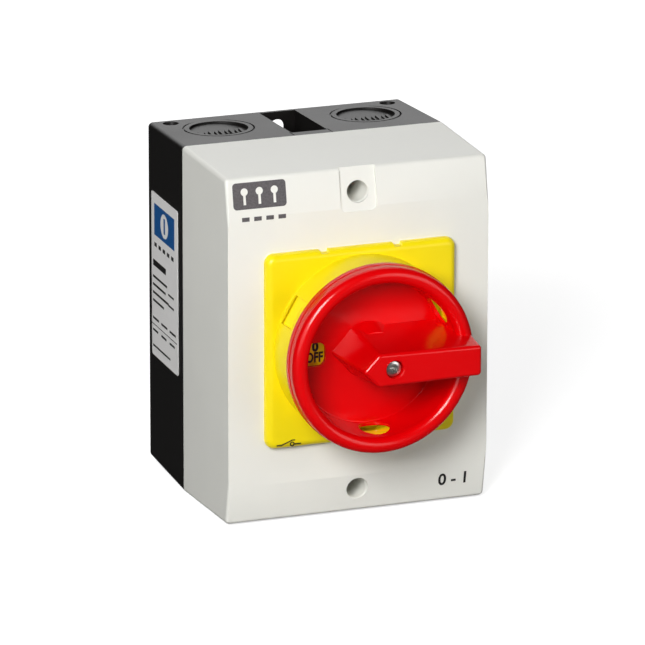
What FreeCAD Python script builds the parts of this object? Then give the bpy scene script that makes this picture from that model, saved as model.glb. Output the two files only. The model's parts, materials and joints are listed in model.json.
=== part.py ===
"""Rotary isolator switch in a wall box, with a padlockable red handle.

Frame: X to the right, Z up, the front faces -Y. The origin is the centre of
the back face. "Depth" is the distance in front of the back face, so y = -depth.
All sizes are in millimetres and live in the sheet "sizes".
"""
import FreeCAD, Part
import Sketcher
import math
import os
import re

Vector = FreeCAD.Vector
Rotation = FreeCAD.Rotation
Placement = FreeCAD.Placement

SIZES = {
    # fits: a tight fit, a sliding piece, a screw in its hole, a moving piece in its room
    "fit_gap": 0.05,
    "slide_gap": 0.1,
    "screw_gap": 0.2,
    "room_gap": 0.3,
    "arc_gap": 0.4,
    # how far a cutting tool runs past the face that it cuts
    "past": 1.0,
    # cross recess of a screw head: reach as a share of the head, and half width
    "recess_share": 0.64,
    "recess_half": 0.4,
    "recess_depth": 1.2,
    # box: the joint plane between base and cover is the widest place
    "box_width": 92.6,
    "box_height": 120.0,
    "base_depth": 37.65,
    "cover_depth": 42.45,
    "back_inset_x": 1.0,
    "back_inset_z": 1.35,
    "front_inset_x": 0.7,
    "front_inset_z": 1.0,
    "corner_radius": 1.5,
    # base shell
    "base_wall": 3.5,
    "floor_wall": 2.5,
    "lip_height": 2.0,
    "lip_gap": 0.3,
    # wall-fixing pockets in the top and bottom of the base
    "screw_pitch": 102.0,
    "pocket_half": 6.3,
    "pocket_reach": 15.0,
    "pocket_wall": 2.5,
    "pocket_strip": 4.45,
    "pocket_back": 2.0,
    "slot_half": 3.0,
    "slot_length": 10.0,
    # cable-entry knockouts
    "knockout_x": 26.2,
    "knockout_depth": 17.0,
    "knockout_outer": 12.1,
    "knockout_inner": 9.9,
    "ring_groove": 0.5,
    "ring_groove_depth": 0.4,
    "knockout_recess": 1.0,
    "dimple_x": 38.8,
    "dimple_at": 4.6,
    "dimple_radius": 2.7,
    "dimple_depth": 1.5,
    # cover shell
    "cover_wall": 2.2,
    "front_wall": 2.5,
    "gasket_thick": 1.2,
    "shelf_thick": 2.0,
    "shelf_width": 2.2,
    "band_height": 14.1,
    "band_drop": 2.67,
    "edge_radius": 1.1,
    # cover screws in their wells
    "well_radius": 3.5,
    "well_seat": 5.35,
    "pad_inner": 15.3,
    "pad_sink": 0.3,
    "pad_slope": 1.2,
    "cover_screw_radius": 1.95,
    "cover_screw_past": 1.7,
    "cover_head_radius": 3.1,
    "cover_head_thick": 2.4,
    "washer_thick": 0.8,
    "insert_radius": 3.2,
    # rating label on the left side
    "label_width": 29.5,
    "label_height": 57.2,
    "label_back": 3.0,
    "label_centre_z": 7.6,
    "label_thick": 0.2,
    # yellow escutcheon with its collar and dial
    "plate_size": 66.4,
    "plate_thick": 3.25,
    "plate_corner": 3.2,
    "plate_edge": 2.4,
    "notch_x": 13.0,
    "notch_width": 2.8,
    "notch_depth": 1.1,
    "collar_bore": 26.8,
    "collar_wall": 1.8,
    "collar_draft": 2.2,
    "collar_height": 13.3,
    "dial_rise": 3.85,
    "dial_thick": 2.2,
    "dial_hollow": 19.5,
    "hasp_half": 5.2,
    "hasp_inset": 0.5,
    "hasp_floor": 1.7,
    "hasp_top": 5.5,
    "hasp_inner": 23.5,
    "hasp_inner_floor": 6.1,
    "hasp_inner_top": 13.7,
    "stop_circle": 12.0,
    "stop_pin": 1.5,
    "stop_gap": 0.4,
    "plate_screw_at": 26.0,
    "plate_screw_radius": 1.45,
    "plate_head_radius": 2.8,
    "plate_head_thick": 2.0,
    "plate_screw_bite": 2.4,
    # red handle
    "dial_gap": 0.3,
    "cup_floor": 1.5,
    "cup_gap": 0.5,
    "cup_wall": 1.3,
    "cup_flare": 1.1,
    "rim_gap": 0.5,
    "rim_radius": 31.75,
    "rim_lip": 2.2,
    "rim_step": 0.35,
    "rim_round": 2.65,
    "rim_height": 7.45,
    "lever_rise": 9.0,
    "lever_half_top": 5.6,
    "lever_half_foot": 8.1,
    "lever_half_end": 5.0,
    "lever_tip_top": 10.8,
    "lever_tip_foot": 13.0,
    "lever_shoulder": 5.5,
    "lever_inset": 0.55,
    "lever_end_draft": 1.0,
    "lever_wall": 2.4,
    "bulge_foot": 9.7,
    "bulge_top": 7.9,
    "bulge_height": 7.0,
    "window_inner": 15.0,
    "window_outer": 23.4,
    "window_half": 4.0,
    "window_corner": 2.0,
    "hasp_eye_drop": 2.25,
    "handle_screw_sink": 1.4,
    "handle_head_radius": 2.75,
    "handle_head_thick": 2.3,
    "handle_screw_radius": 1.95,
    "handle_bore": 3.0,
    # handle hub through the cover
    "hub_radius": 6.5,
    "hub_gap": 0.4,
    "hub_reach": 8.1,
    "hub_key": 8.0,
    "hub_key_height": 3.0,
    "socket_gap": 0.15,
    "clip_radius": 8.6,
    "clip_thick": 1.0,
    "clip_groove": 0.7,
    "clip_gap": 0.2,
    "clip_opening": 1.5,
    "seal_section": 0.95,
    # switch body on its foot
    "foot_width": 44.0,
    "foot_height": 46.0,
    "foot_front": 8.0,
    "ear_half": 6.0,
    "ear_end": 37.5,
    "ear_thick": 2.5,
    "foot_screw_z": 32.0,
    "foot_screw_radius": 1.6,
    "foot_head_radius": 3.2,
    "foot_head_thick": 2.4,
    "boss_radius": 4.6,
    "deck_width": 48.0,
    "deck_height": 56.0,
    "deck_thick": 13.0,
    "deck_floor": 1.5,
    "deck_corner": 3.0,
    "latch_width": 44.0,
    "latch_height": 50.0,
    "latch_thick": 10.0,
    "top_plate_thick": 2.5,
    "tie_z": 21.5,
    "tie_radius": 1.7,
    "tie_head_radius": 3.0,
    "tie_head_thick": 2.2,
    "tie_short": 0.5,
    # rotor
    "shaft_side": 5.0,
    "shaft_short": 5.1,
    "journal_radius": 3.0,
    "journal_back": 3.6,
    "cam_high": 9.0,
    "cam_low": 6.5,
    "cam_thick": 9.0,
    "cam_clear": 1.3,
    "wheel_radius": 8.0,
    "wheel_notch": 1.5,
    "wheel_notch_bite": 0.6,
    "wheel_gap": 0.5,
    "wheel_thick": 6.0,
    "wheel_journal": 6.0,
    "circlip_radius": 7.4,
    "circlip_gap": 0.4,
    "circlip_thick": 0.8,
    # contact system, four poles
    "nose_gap": 0.35,
    "nose_round": 1.5,
    "nose_inset": 0.5,
    "carrier_half": 4.0,
    "carrier_back": 19.0,
    "carrier_thick": 8.6,
    "carrier_gap": 0.3,
    "bridge_at": 13.0,
    "bridge_thick": 1.2,
    "bridge_half": 11.2,
    "bridge_width": 5.6,
    "contact_z": 9.2,
    "contact_radius": 1.6,
    "contact_rise": 0.6,
    "contact_travel": 2.5,
    "strip_inner_z": 6.9,
    "strip_outer_z": 27.6,
    "strip_thick": 1.2,
    "strip_width": 6.4,
    "clamp_length": 7.0,
    "clamp_height": 6.4,
    "clamp_z": 22.6,
    "clamp_width": 8.0,
    "clamp_wall": 1.2,
    "wire_from": 0.8,
    "wire_to": 4.6,
    "clamp_thread": 4.0,
    "terminal_screw_from": 3.4,
    "driver_slot": 0.9,
    "terminal_screw_radius": 1.7,
    "terminal_head_radius": 2.6,
    "terminal_head_thick": 1.8,
    "spring_radius": 2.1,
    "spring_wire": 0.5,
    "spring_turns": 5.0,
    # detent
    "plunger_half": 3.0,
    "plunger_length": 6.0,
    "plunger_thick": 5.0,
    "latch_wall": 1.6,
    # earth terminal
    "earth_x": 33.0,
    "earth_z": 30.0,
    "earth_side": 8.0,
    "earth_height": 9.0,
    "earth_pad": 3.0,
    "earth_wire_at": 3.4,
    "earth_wire_radius": 2.4,
    "earth_screw_from": 4.0,
    "earth_screw_radius": 1.95,
    "earth_head_radius": 3.3,
    "earth_head_thick": 2.4,
}

doc = FreeCAD.newDocument("rotary_isolator")
sheet = doc.addObject("Spreadsheet::Sheet", "sizes")
for row, (alias, number) in enumerate(SIZES.items(), start=1):
    sheet.set(f"A{row}", alias)
    sheet.set(f"B{row}", str(number))
    sheet.setAlias(f"B{row}", alias)
doc.recompute()

NODES = []


# ---------------------------------------------------------------- helpers
def linked(words):
    """An expression in plain size names, as one that reads the sheet."""
    def swap(found):
        word = found.group()
        return f"sizes.{word}" if word in SIZES else word
    return re.sub(r"[a-z_]+", swap, str(words))


def size(words):
    """The present value of an expression in size names."""
    names = {name: float(sheet.get(name)) for name in SIZES}
    pieces = re.sub(r"[a-z_]+", lambda found: repr(names[found.group()]), str(words))
    item = doc.getObject("scratch") or doc.addObject("App::FeaturePython", "scratch")
    return float(item.evalExpression(pieces))


def bind(item, **expressions):
    """Tie properties of an item to the sheet; __ stands for a dot."""
    for name, words in expressions.items():
        item.setExpression(name.replace("__", "."), linked(words))
    return item


def box(label, across, depth, up):
    """A block between two X, two depths and two Z."""
    item = doc.addObject("Part::Box", label)
    return bind(
        item,
        Length=f"({across[1]})-({across[0]})",
        Width=f"({depth[1]})-({depth[0]})",
        Height=f"({up[1]})-({up[0]})",
        Placement__Base__x=across[0],
        Placement__Base__y=f"-({depth[1]})",
        Placement__Base__z=up[0],
    )


def rod(label, x, z, depth, radius):
    """A round bar along the depth."""
    item = doc.addObject("Part::Cylinder", label)
    item.Placement = Placement(Vector(), Rotation(Vector(1, 0, 0), 90))
    return bind(
        item,
        Radius=radius,
        Height=f"({depth[1]})-({depth[0]})",
        Placement__Base__x=x,
        Placement__Base__y=f"-({depth[0]})",
        Placement__Base__z=z,
    )


def cone(label, depth, low_radius, high_radius):
    """A round taper along the depth, on the shaft line."""
    item = doc.addObject("Part::Cone", label)
    item.Placement = Placement(Vector(), Rotation(Vector(1, 0, 0), 90))
    return bind(
        item,
        Radius1=low_radius,
        Radius2=high_radius,
        Height=f"({depth[1]})-({depth[0]})",
        Placement__Base__y=f"-({depth[0]})",
    )


def cross_rod(label, across, depth, z, radius):
    """A round bar along X."""
    item = doc.addObject("Part::Cylinder", label)
    item.Placement = Placement(Vector(), Rotation(Vector(0, 1, 0), 90))
    return bind(
        item,
        Radius=radius,
        Height=f"({across[1]})-({across[0]})",
        Placement__Base__x=across[0],
        Placement__Base__y=f"-({depth})",
        Placement__Base__z=z,
    )


def upright_rod(label, x, depth, up, radius):
    """A round bar along Z."""
    item = doc.addObject("Part::Cylinder", label)
    return bind(
        item,
        Radius=radius,
        Height=f"({up[1]})-({up[0]})",
        Placement__Base__x=x,
        Placement__Base__y=f"-({depth})",
        Placement__Base__z=up[0],
    )


def donut(label, depth, major, minor):
    """A torus round the shaft line."""
    item = doc.addObject("Part::Torus", label)
    item.Placement = Placement(Vector(), Rotation(Vector(1, 0, 0), 90))
    return bind(item, Radius1=major, Radius2=minor, Placement__Base__y=f"-({depth})")


def fuse(label, items):
    """One solid made of several."""
    item = doc.addObject("Part::MultiFuse", label)
    item.Shapes = items
    item.Refine = True
    return item


def cut(label, base, tools):
    """A solid less one or more tools."""
    item = doc.addObject("Part::Cut", label)
    item.Base = base
    item.Tool = tools[0] if len(tools) == 1 else fuse(f"{label}_tools", tools)
    item.Refine = True
    return item


def group(label, items):
    """Separate equal pieces that share one node."""
    item = doc.addObject("Part::Compound", label)
    item.Links = items
    return item


def turned(label, item, angle):
    """A copy of an item turned about the shaft line, clockwise from the front."""
    copy = doc.addObject("Part::Compound", label)
    copy.Links = [item]
    copy.Placement = Placement(Vector(), Rotation(Vector(0, 1, 0), angle))
    return copy


def node(item, label):
    """Name a finished sub-part."""
    item.Label = label
    NODES.append(item)
    return item


def sketch_on(owner, label, plane, offset):
    """A sketch on one of a body's origin planes, moved out by an offset."""
    item = owner.newObject("Sketcher::SketchObject", label)
    role = {"front": "XZ_Plane", "side": "YZ_Plane"}[plane]
    support = next(p for p in owner.Origin.OriginFeatures if p.Role == role)
    item.AttachmentSupport = [(support, "")]
    item.MapMode = "FlatFace"
    item.setExpression("AttachmentOffset.Base.z", linked(offset))
    return item


def free_sketch(label, depth):
    """A sketch parallel to the front, outside any body."""
    item = doc.addObject("Sketcher::SketchObject", label)
    item.Placement = Placement(Vector(), Rotation(Vector(1, 0, 0), 90))
    return bind(item, Placement__Base__y=f"-({depth})")


def outline(sketch, points):
    """A closed outline of straight lines through named points."""
    corners = [Vector(size(u), size(v), 0) for u, v in points]
    count = len(corners)
    for index in range(count):
        sketch.addGeometry(Part.LineSegment(corners[index], corners[(index + 1) % count]))
    for index in range(count):
        sketch.addConstraint(Sketcher.Constraint("Coincident", index, 2, (index + 1) % count, 1))
    for index, (u, v) in enumerate(points):
        for kind, words, number in (("DistanceX", u, corners[index].x),
                                    ("DistanceY", v, corners[index].y)):
            at = sketch.addConstraint(Sketcher.Constraint(kind, -1, 1, index, 1, number))
            sketch.setExpression(f"Constraints[{at}]", linked(words))
    return sketch


def rectangle(sketch, half_width, half_height):
    """A rectangle centred on the sketch origin."""
    return outline(sketch, [
        (f"-({half_width})", f"-({half_height})"),
        (half_width, f"-({half_height})"),
        (half_width, half_height),
        (f"-({half_width})", half_height),
    ])


def edges_where(item, test):
    """Names of the edges that pass a test."""
    doc.recompute()
    return [f"Edge{number}" for number, edge in enumerate(item.Shape.Edges, start=1) if test(edge)]


def rounded(label, base, radius, test):
    """Fillet the chosen edges of an item."""
    numbers = [int(name[4:]) for name in edges_where(base, test)]
    item = doc.addObject("Part::Fillet", label)
    item.Base = base
    item.Edges = [(number, size(radius), size(radius)) for number in numbers]
    return item


def runs_back(edge):
    """True for a straight edge that runs along the depth, drafted or not."""
    run = edge.Vertexes[-1].Point - edge.Vertexes[0].Point
    return abs(run.y) > 0.9 * run.Length > 0.01


def rounded_block(label, across, depth, up, radius):
    """A block whose four edges along the depth are round."""
    return rounded(label, box(f"{label}_blank", across, depth, up), radius, runs_back)


def spring_shape(radius, wire, length, turns):
    """A coil along +X from the origin, its wire ends inside the length."""
    rise = length - 2 * wire
    helix = Part.makeHelix(rise / turns, rise, radius)
    start = Vector(radius, 0, 0)
    section = Part.Wire([Part.makeCircle(wire, start, Vector(0, 1, 0))])
    coil = Part.Wire(helix).makePipeShell([section], True, True)
    coil.translate(Vector(0, 0, wire))
    coil.rotate(Vector(), Vector(0, 1, 0), 90)
    return coil


def feature(label, shape, placement=None):
    """A piece whose shape comes straight from Part's own functions."""
    item = doc.addObject("Part::Feature", label)
    item.Shape = shape
    if placement is not None:
        item.Placement = placement.multiply(shape.Placement)
    return item


# ---------------------------------------------------------------- stations
FRONT = "base_depth+cover_depth"
PLATE_FRONT = f"{FRONT}+plate_thick"
COLLAR_TOP = f"{PLATE_FRONT}+collar_height"
DIAL = f"{PLATE_FRONT}+dial_rise"
CUP_BACK = f"{DIAL}+dial_gap"
CUP_FRONT = f"{CUP_BACK}+cup_floor"
RIM_BACK = f"{COLLAR_TOP}+rim_gap"
RIM_CREST = f"{RIM_BACK}+rim_height"
RIM_MIDDLE = f"{RIM_CREST}-rim_round"
LEVER_TOP = f"{RIM_CREST}+lever_rise"
LEVER_END = "(rim_radius-lever_inset)"
COLLAR_OUT = "collar_bore+collar_wall"
COLLAR_BASE = f"{COLLAR_OUT}+collar_draft"
CUP_OUTER = "collar_bore-cup_gap"
CUP_INNER = f"{CUP_OUTER}-cup_wall"
CUP_MOUTH = f"{CUP_INNER}+cup_flare"
HASP_EYE = f"{COLLAR_TOP}-hasp_eye_drop"
HASP_ANGLES = (-30, -150, -270)
HUB_END = f"{FRONT}-hub_reach"
SHAFT_FRONT = f"{CUP_BACK}-shaft_short"
WELL_FLOOR = "base_depth+well_seat"
HALF_W = "box_width/2"
HALF_H = "box_height/2"
SCREW_Z = "screw_pitch/2"
POCKET_IN = f"{HALF_H}-pocket_reach"
STRIP_BACK = "base_depth-pocket_strip"
DECK_NAMES = ("rear_contact_deck", "front_contact_deck")
DECK_BACKS = ("foot_front", "foot_front+deck_thick")
STRIP_OUT = "(bridge_at-contact_travel-2*contact_rise-slide_gap)"
STRIP_IN = f"({STRIP_OUT}-strip_thick)"
LATCH_BACK = "foot_front+2*deck_thick"
LATCH_FRONT = f"{LATCH_BACK}+latch_thick"
TOP_FRONT = f"{LATCH_FRONT}+top_plate_thick"
ENDS = (("top", 1), ("bottom", -1))
SIDES = (("left", -1), ("right", 1))


# ---------------------------------------------------------------- base
def rear_box():
    """Black base: drafted shell, fixing pockets, knockouts, lip and bosses."""
    body = doc.addObject("PartDesign::Body", "rear_shell")
    back = rectangle(sketch_on(body, "rear_back", "front", "0"),
                     f"{HALF_W}-back_inset_x", f"{HALF_H}-back_inset_z")
    joint = rectangle(sketch_on(body, "rear_joint", "front", "base_depth"), HALF_W, HALF_H)
    shell = body.newObject("PartDesign::AdditiveLoft", "rear_loft")
    shell.Profile = back
    shell.Sections = [joint]
    shell.Ruled = True
    doc.recompute()
    corner = body.newObject("PartDesign::Fillet", "rear_corners")
    corner.Base = (shell, edges_where(shell, runs_back))
    bind(corner, Radius="corner_radius")
    hollow = body.newObject("PartDesign::Pocket", "rear_hollow")
    hollow.Profile = rectangle(sketch_on(body, "rear_inside", "front", "base_depth"),
                               f"{HALF_W}-base_wall", f"{HALF_H}-base_wall")
    bind(hollow, Length="base_depth-floor_wall")
    doc.recompute()

    lip = cut("lip", box("lip_outer",
                         (f"-({HALF_W}-cover_wall-lip_gap)", f"{HALF_W}-cover_wall-lip_gap"),
                         ("base_depth-base_wall", "base_depth+lip_height"),
                         (f"-({HALF_H}-cover_wall-lip_gap)", f"{HALF_H}-cover_wall-lip_gap")),
              [box("lip_inner", (f"-({HALF_W}-base_wall)", f"{HALF_W}-base_wall"),
                   ("base_depth-2*base_wall", "base_depth+2*lip_height"),
                   (f"-({HALF_H}-base_wall)", f"{HALF_H}-base_wall"))])
    solids = [body, lip]
    tools = []
    for end, sign in ENDS:
        near, far = sorted_span(sign, f"{POCKET_IN}-pocket_wall", f"{HALF_H}-base_wall/2")
        solids.append(box(f"{end}_pocket_block",
                          ("-(pocket_half+pocket_wall)", "pocket_half+pocket_wall"),
                          ("floor_wall/2", "base_depth"), (near, far)))
        near, far = sorted_span(sign, POCKET_IN, f"{HALF_H}+past")
        tools.append(box(f"{end}_pocket", ("-pocket_half", "pocket_half"),
                         ("pocket_back", STRIP_BACK), (near, far)))
        half = "slot_length/2-slot_half"
        tools.append(box(f"{end}_slot", ("-slot_half", "slot_half"), ("-past", "pocket_back+past"),
                         (f"{sign}*{SCREW_Z}-({half})", f"{sign}*{SCREW_Z}+({half})")))
        for part, shift in (("low", -1), ("high", 1)):
            tools.append(rod(f"{end}_slot_{part}", "0",
                             f"{sign}*{SCREW_Z}+({shift})*({half})",
                             ("-past", "pocket_back+past"), "slot_half"))
        tools.append(rod(f"{end}_insert_hole", "0", f"{sign}*{SCREW_Z}",
                         (f"{STRIP_BACK}-past", "base_depth+past"), "insert_radius"))
        solids.append(rod(f"{end}_boss", "0", f"{sign}*foot_screw_z",
                          ("floor_wall/2", "foot_front-ear_thick"), "boss_radius"))
        tools.append(rod(f"{end}_boss_hole", "0", f"{sign}*foot_screw_z",
                         ("past", "foot_front"), "foot_screw_radius+fit_gap/2"))
        tools += knockout_tools(end, sign)
    solids.append(box("earth_pad_block",
                      ("-(earth_x+earth_side/2)", "-(earth_x-earth_side/2)"),
                      ("floor_wall/2", "floor_wall+earth_pad"),
                      ("-(earth_z+earth_side/2)", "-(earth_z-earth_side/2)")))
    node(cut("rear_box", fuse("rear_solids", solids), tools), "rear_box")


def sorted_span(sign, near, far):
    """Two Z limits in rising order, above or below the middle."""
    if sign > 0:
        return near, far
    return f"-({far})", f"-({near})"


def top_face(depth):
    """Height of the drafted top face at a depth."""
    return f"({HALF_H}-back_inset_z*(1-({depth})/base_depth))"


def knockout_tools(end, sign):
    """Ring groove, recessed disc and dimple for the left and right entries."""
    tools = []
    face = top_face("knockout_depth")
    dimple_face = top_face("dimple_at")
    for side, hand in SIDES:
        x = f"{hand}*knockout_x"
        near, far = sorted_span(sign, f"{face}-ring_groove_depth", f"{HALF_H}+past")
        ring = cut(f"{end}_{side}_ring",
                   upright_rod(f"{end}_{side}_ring_outer", x, "knockout_depth", (near, far),
                               "knockout_outer"),
                   [upright_rod(f"{end}_{side}_ring_inner", x, "knockout_depth", (near, far),
                                "knockout_outer-ring_groove")])
        near, far = sorted_span(sign, f"{face}-knockout_recess", f"{HALF_H}+past")
        disc = upright_rod(f"{end}_{side}_disc", x, "knockout_depth", (near, far),
                           "knockout_inner")
        near, far = sorted_span(sign, f"{dimple_face}-dimple_depth", f"{HALF_H}+past")
        dimple = upright_rod(f"{end}_{side}_dimple", f"{hand}*dimple_x", "dimple_at",
                             (near, far), "dimple_radius")
        tools += [ring, disc, dimple]
    return tools


def inserts():
    """Brass threaded inserts in the front strip of each pocket."""
    pieces = []
    for end, sign in ENDS:
        z = f"{sign}*{SCREW_Z}"
        pieces.append(cut(f"{end}_insert",
                          rod(f"{end}_insert_blank", "0", z,
                              (STRIP_BACK, "base_depth"), "insert_radius"),
                          [rod(f"{end}_insert_bore", "0", z,
                               (f"{STRIP_BACK}-past", "base_depth+past"),
                               "cover_screw_radius+fit_gap")]))
    node(group("cover_screw_inserts", pieces), "cover_screw_inserts")


def rating_label():
    """Thin label on the drafted left side of the base."""
    item = doc.addObject("Part::Box", "rating_label")
    item.Placement = Placement(Vector(), Rotation(Vector(0, 0, -1), 1))
    lean = "atan(back_inset_x/base_depth)"
    along = "(label_back+label_width)"
    bind(
        item,
        Length="label_thick",
        Width="label_width",
        Height="label_height",
        Placement__Rotation__Angle=lean,
        Placement__Base__x=(f"-({HALF_W}-back_inset_x)-{along}*sin({lean})"
                            f"-label_thick*cos({lean})"),
        Placement__Base__y=f"-{along}*cos({lean})+label_thick*sin({lean})",
        Placement__Base__z="label_centre_z-label_height/2",
    )
    node(item, "rating_label")


# ---------------------------------------------------------------- cover
def front_cover():
    """Light grey cover: drafted shell, sloped bands, screw wells and shelf."""
    body = doc.addObject("PartDesign::Body", "cover_shell")
    joint = rectangle(sketch_on(body, "cover_joint", "front", "base_depth"), HALF_W, HALF_H)
    face = rectangle(sketch_on(body, "cover_face", "front", FRONT),
                     f"{HALF_W}-front_inset_x", f"{HALF_H}-front_inset_z")
    shell = body.newObject("PartDesign::AdditiveLoft", "cover_loft")
    shell.Profile = joint
    shell.Sections = [face]
    shell.Ruled = True
    doc.recompute()
    corner = body.newObject("PartDesign::Fillet", "cover_corners")
    corner.Base = (shell, edges_where(shell, runs_back))
    bind(corner, Radius="corner_radius")
    doc.recompute()

    slope = "band_drop/band_height"
    bands = []
    for end, sign in ENDS:
        bands.append(wedge(f"{end}_band", f"{HALF_W}+past", f"{HALF_H}-band_height",
                           "0", slope, sign))
    blank = cut("cover_blank", body, bands)
    doc.recompute()
    edge = rounded("cover_edges", blank, "edge_radius", front_perimeter)

    deep_x = f"{HALF_W}-front_inset_x-cover_wall"
    deep_z = f"{HALF_H}-front_inset_z-cover_wall"
    seat = "base_depth+lip_height+gasket_thick"
    shelf_x = f"{HALF_W}-cover_wall-shelf_width"
    shelf_z = f"{HALF_H}-cover_wall-shelf_width"
    tools = [
        box("cover_mouth", (f"-({HALF_W}-cover_wall)", f"{HALF_W}-cover_wall"),
            ("base_depth-past", seat), (f"-({HALF_H}-cover_wall)", f"{HALF_H}-cover_wall")),
        box("cover_throat", (f"-({shelf_x})", shelf_x), ("base_depth", f"{seat}+shelf_thick+past"),
            (f"-({shelf_z})", shelf_z)),
        cut("cover_hollow",
            box("cover_room", (f"-({deep_x})", deep_x),
                (f"{seat}+shelf_thick", f"{FRONT}-front_wall"), (f"-({deep_z})", deep_z)),
            [wedge(f"{end}_inner_band", f"{HALF_W}+past", f"{HALF_H}-band_height-front_wall/2",
                   "front_wall", slope, sign) for end, sign in ENDS]),
    ]
    hollowed = cut("cover_hollowed", edge, tools)
    solids = [hollowed]
    holes = [
        rod("shaft_hole", "0", "0", (f"{FRONT}-front_wall-past", f"{FRONT}+past"),
            "hub_radius+hub_gap"),
        rod("seal_seat", "0", "0",
            (f"{FRONT}-2*seal_section", f"{FRONT}+past"),
            "hub_radius+hub_gap+2*seal_section+fit_gap"),
    ]
    for end, sign in ENDS:
        near, far = sorted_span(sign, POCKET_IN, f"{HALF_H}-base_wall-lip_gap")
        solids.append(box(f"{end}_pillar", ("-pocket_half", "pocket_half"),
                          ("base_depth", f"{FRONT}-front_wall"), (near, far)))
        holes.append(rod(f"{end}_well", "0", f"{sign}*{SCREW_Z}",
                         (WELL_FLOOR, f"{FRONT}+past"), "well_radius"))
        holes.append(rod(f"{end}_clearance", "0", f"{sign}*{SCREW_Z}",
                         ("base_depth-past", f"{WELL_FLOOR}+past"), "cover_screw_radius+screw_gap"))
        holes.append(pad_tool(end, sign))
        for side, hand in SIDES:
            holes.append(rod(f"{end}_{side}_plate_hole", f"{hand}*plate_screw_at",
                             f"{sign}*plate_screw_at", (f"{FRONT}-front_wall-past", f"{FRONT}+past"),
                             "plate_screw_radius+screw_gap"))
    trimmed = doc.addObject("Part::MultiCommon", "cover_trimmed")
    outer = doc.getObject("cover_edges")
    full = fuse("cover_solids", solids)
    trimmed.Shapes = [full, outer]
    node(cut("front_cover", trimmed, holes), "front_cover")


def wedge(label, half_width, start, back, slope, sign):
    """Space in front of a plane that leans back from the face at a height."""
    item = doc.addObject("Part::Wedge", label)
    reach = "(band_height*2)"
    low, high = (start, f"{start}+{reach}") if sign > 0 else (f"-({start})-{reach}", f"-({start})")
    at = low if sign < 0 else high
    return bind(
        item,
        Xmin=f"-({half_width})", Xmax=half_width,
        X2min=f"-({half_width})", X2max=half_width,
        Ymin=f"-({FRONT})+({back})", Ymax=f"-({FRONT})+({back})+({slope})*{reach}",
        Zmin=low, Zmax=high,
        Z2min=f"({at})-0.001" if sign > 0 else at, Z2max=at if sign > 0 else f"({at})+0.001",
    )


def pad_tool(end, sign):
    """Shallow sloped recess round a screw well, open at the box edge."""
    body = doc.addObject("PartDesign::Body", f"{end}_pad")
    sketch = sketch_on(body, f"{end}_pad_profile", "side", "-pocket_half")
    inner = f"{sign}*({HALF_H}-pad_inner)"
    outer = f"{sign}*({HALF_H}+1)"
    outline(sketch, [
        (f"-({FRONT})+pad_sink", inner),
        (f"-({FRONT})-past", inner),
        (f"-({FRONT})-past", outer),
        (f"-({FRONT})+band_drop+pad_slope", outer),
    ])
    pad = body.newObject("PartDesign::Pad", f"{end}_pad_block")
    pad.Profile = sketch
    bind(pad, Length="2*pocket_half")
    return body


def front_perimeter(edge):
    """True for the outer edges round the front of the cover."""
    half_w = size(f"{HALF_W}-front_inset_x")
    half_h = size(f"{HALF_H}-front_inset_z")
    front = size(FRONT)
    slack = size("corner_radius") + 1.0
    for vertex in edge.Vertexes:
        point = vertex.Point
        if -point.y < front - size("band_drop") - 1.0:
            return False
        if abs(point.x) < half_w - slack and abs(point.z) < half_h - slack:
            return False
    first, last = edge.Vertexes[0].Point, edge.Vertexes[-1].Point
    across = abs(first.z - last.z) < 1e-6 and abs(abs(first.z) - half_h) > slack
    return not across


def cover_gasket():
    """Rubber ring between the base's lip and the cover's shelf."""
    outer_x = f"{HALF_W}-cover_wall-lip_gap"
    outer_z = f"{HALF_H}-cover_wall-lip_gap"
    depth = ("base_depth+lip_height", "base_depth+lip_height+gasket_thick")
    wide = "shelf_width-2*lip_gap"
    ring = cut("gasket_ring",
               box("gasket_outer", (f"-({outer_x})", outer_x), depth, (f"-({outer_z})", outer_z)),
               [box("gasket_inner", (f"-({outer_x}-({wide}))", f"{outer_x}-({wide})"),
                    ("base_depth", f"{depth[1]}+past"),
                    (f"-({outer_z}-({wide}))", f"{outer_z}-({wide})"))])
    reliefs = []
    for end, sign in ENDS:
        near, far = sorted_span(sign, POCKET_IN, f"{HALF_H}-base_wall-lip_gap")
        reliefs.append(box(f"{end}_gasket_relief", ("-(pocket_half+slide_gap)", "pocket_half+slide_gap"),
                           ("base_depth", f"{depth[1]}+past"), (near, far)))
    node(cut("cover_gasket", ring, reliefs), "cover_gasket")


def cover_screws():
    """Cheese-head screws deep in the wells, with their sealing washers."""
    screws = []
    washers = []
    for end, sign in ENDS:
        z = f"{sign}*{SCREW_Z}"
        seat = f"{WELL_FLOOR}+washer_thick"
        head = rod(f"{end}_cover_head", "0", z, (seat, f"{seat}+cover_head_thick"),
                   "cover_head_radius")
        shank = rod(f"{end}_cover_shank", "0", z, (f"{STRIP_BACK}-cover_screw_past", seat),
                    "cover_screw_radius")
        slots = cross_slots(f"{end}_cover", "0", z,
                            recess(f"{seat}+cover_head_thick"), "cover_head_radius")
        screws.append(cut(f"{end}_cover_screw", fuse(f"{end}_cover_blank", [head, shank]), slots))
        washers.append(cut(f"{end}_washer",
                           rod(f"{end}_washer_disc", "0", z, (WELL_FLOOR, seat),
                               "cover_head_radius"),
                           [rod(f"{end}_washer_hole", "0", z,
                                (f"{WELL_FLOOR}-past", f"{seat}+past"),
                                "cover_screw_radius+slide_gap")]))
    node(group("cover_screws", screws), "cover_screws")
    node(group("screw_washers", washers), "screw_washers")


def recess(face, facing=1):
    """Depths between which a recess is cut into a screw head, from its face."""
    near, far = f"{face}-({facing})*recess_depth", f"{face}+({facing})*past"
    return (near, far) if facing > 0 else (far, near)


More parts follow.
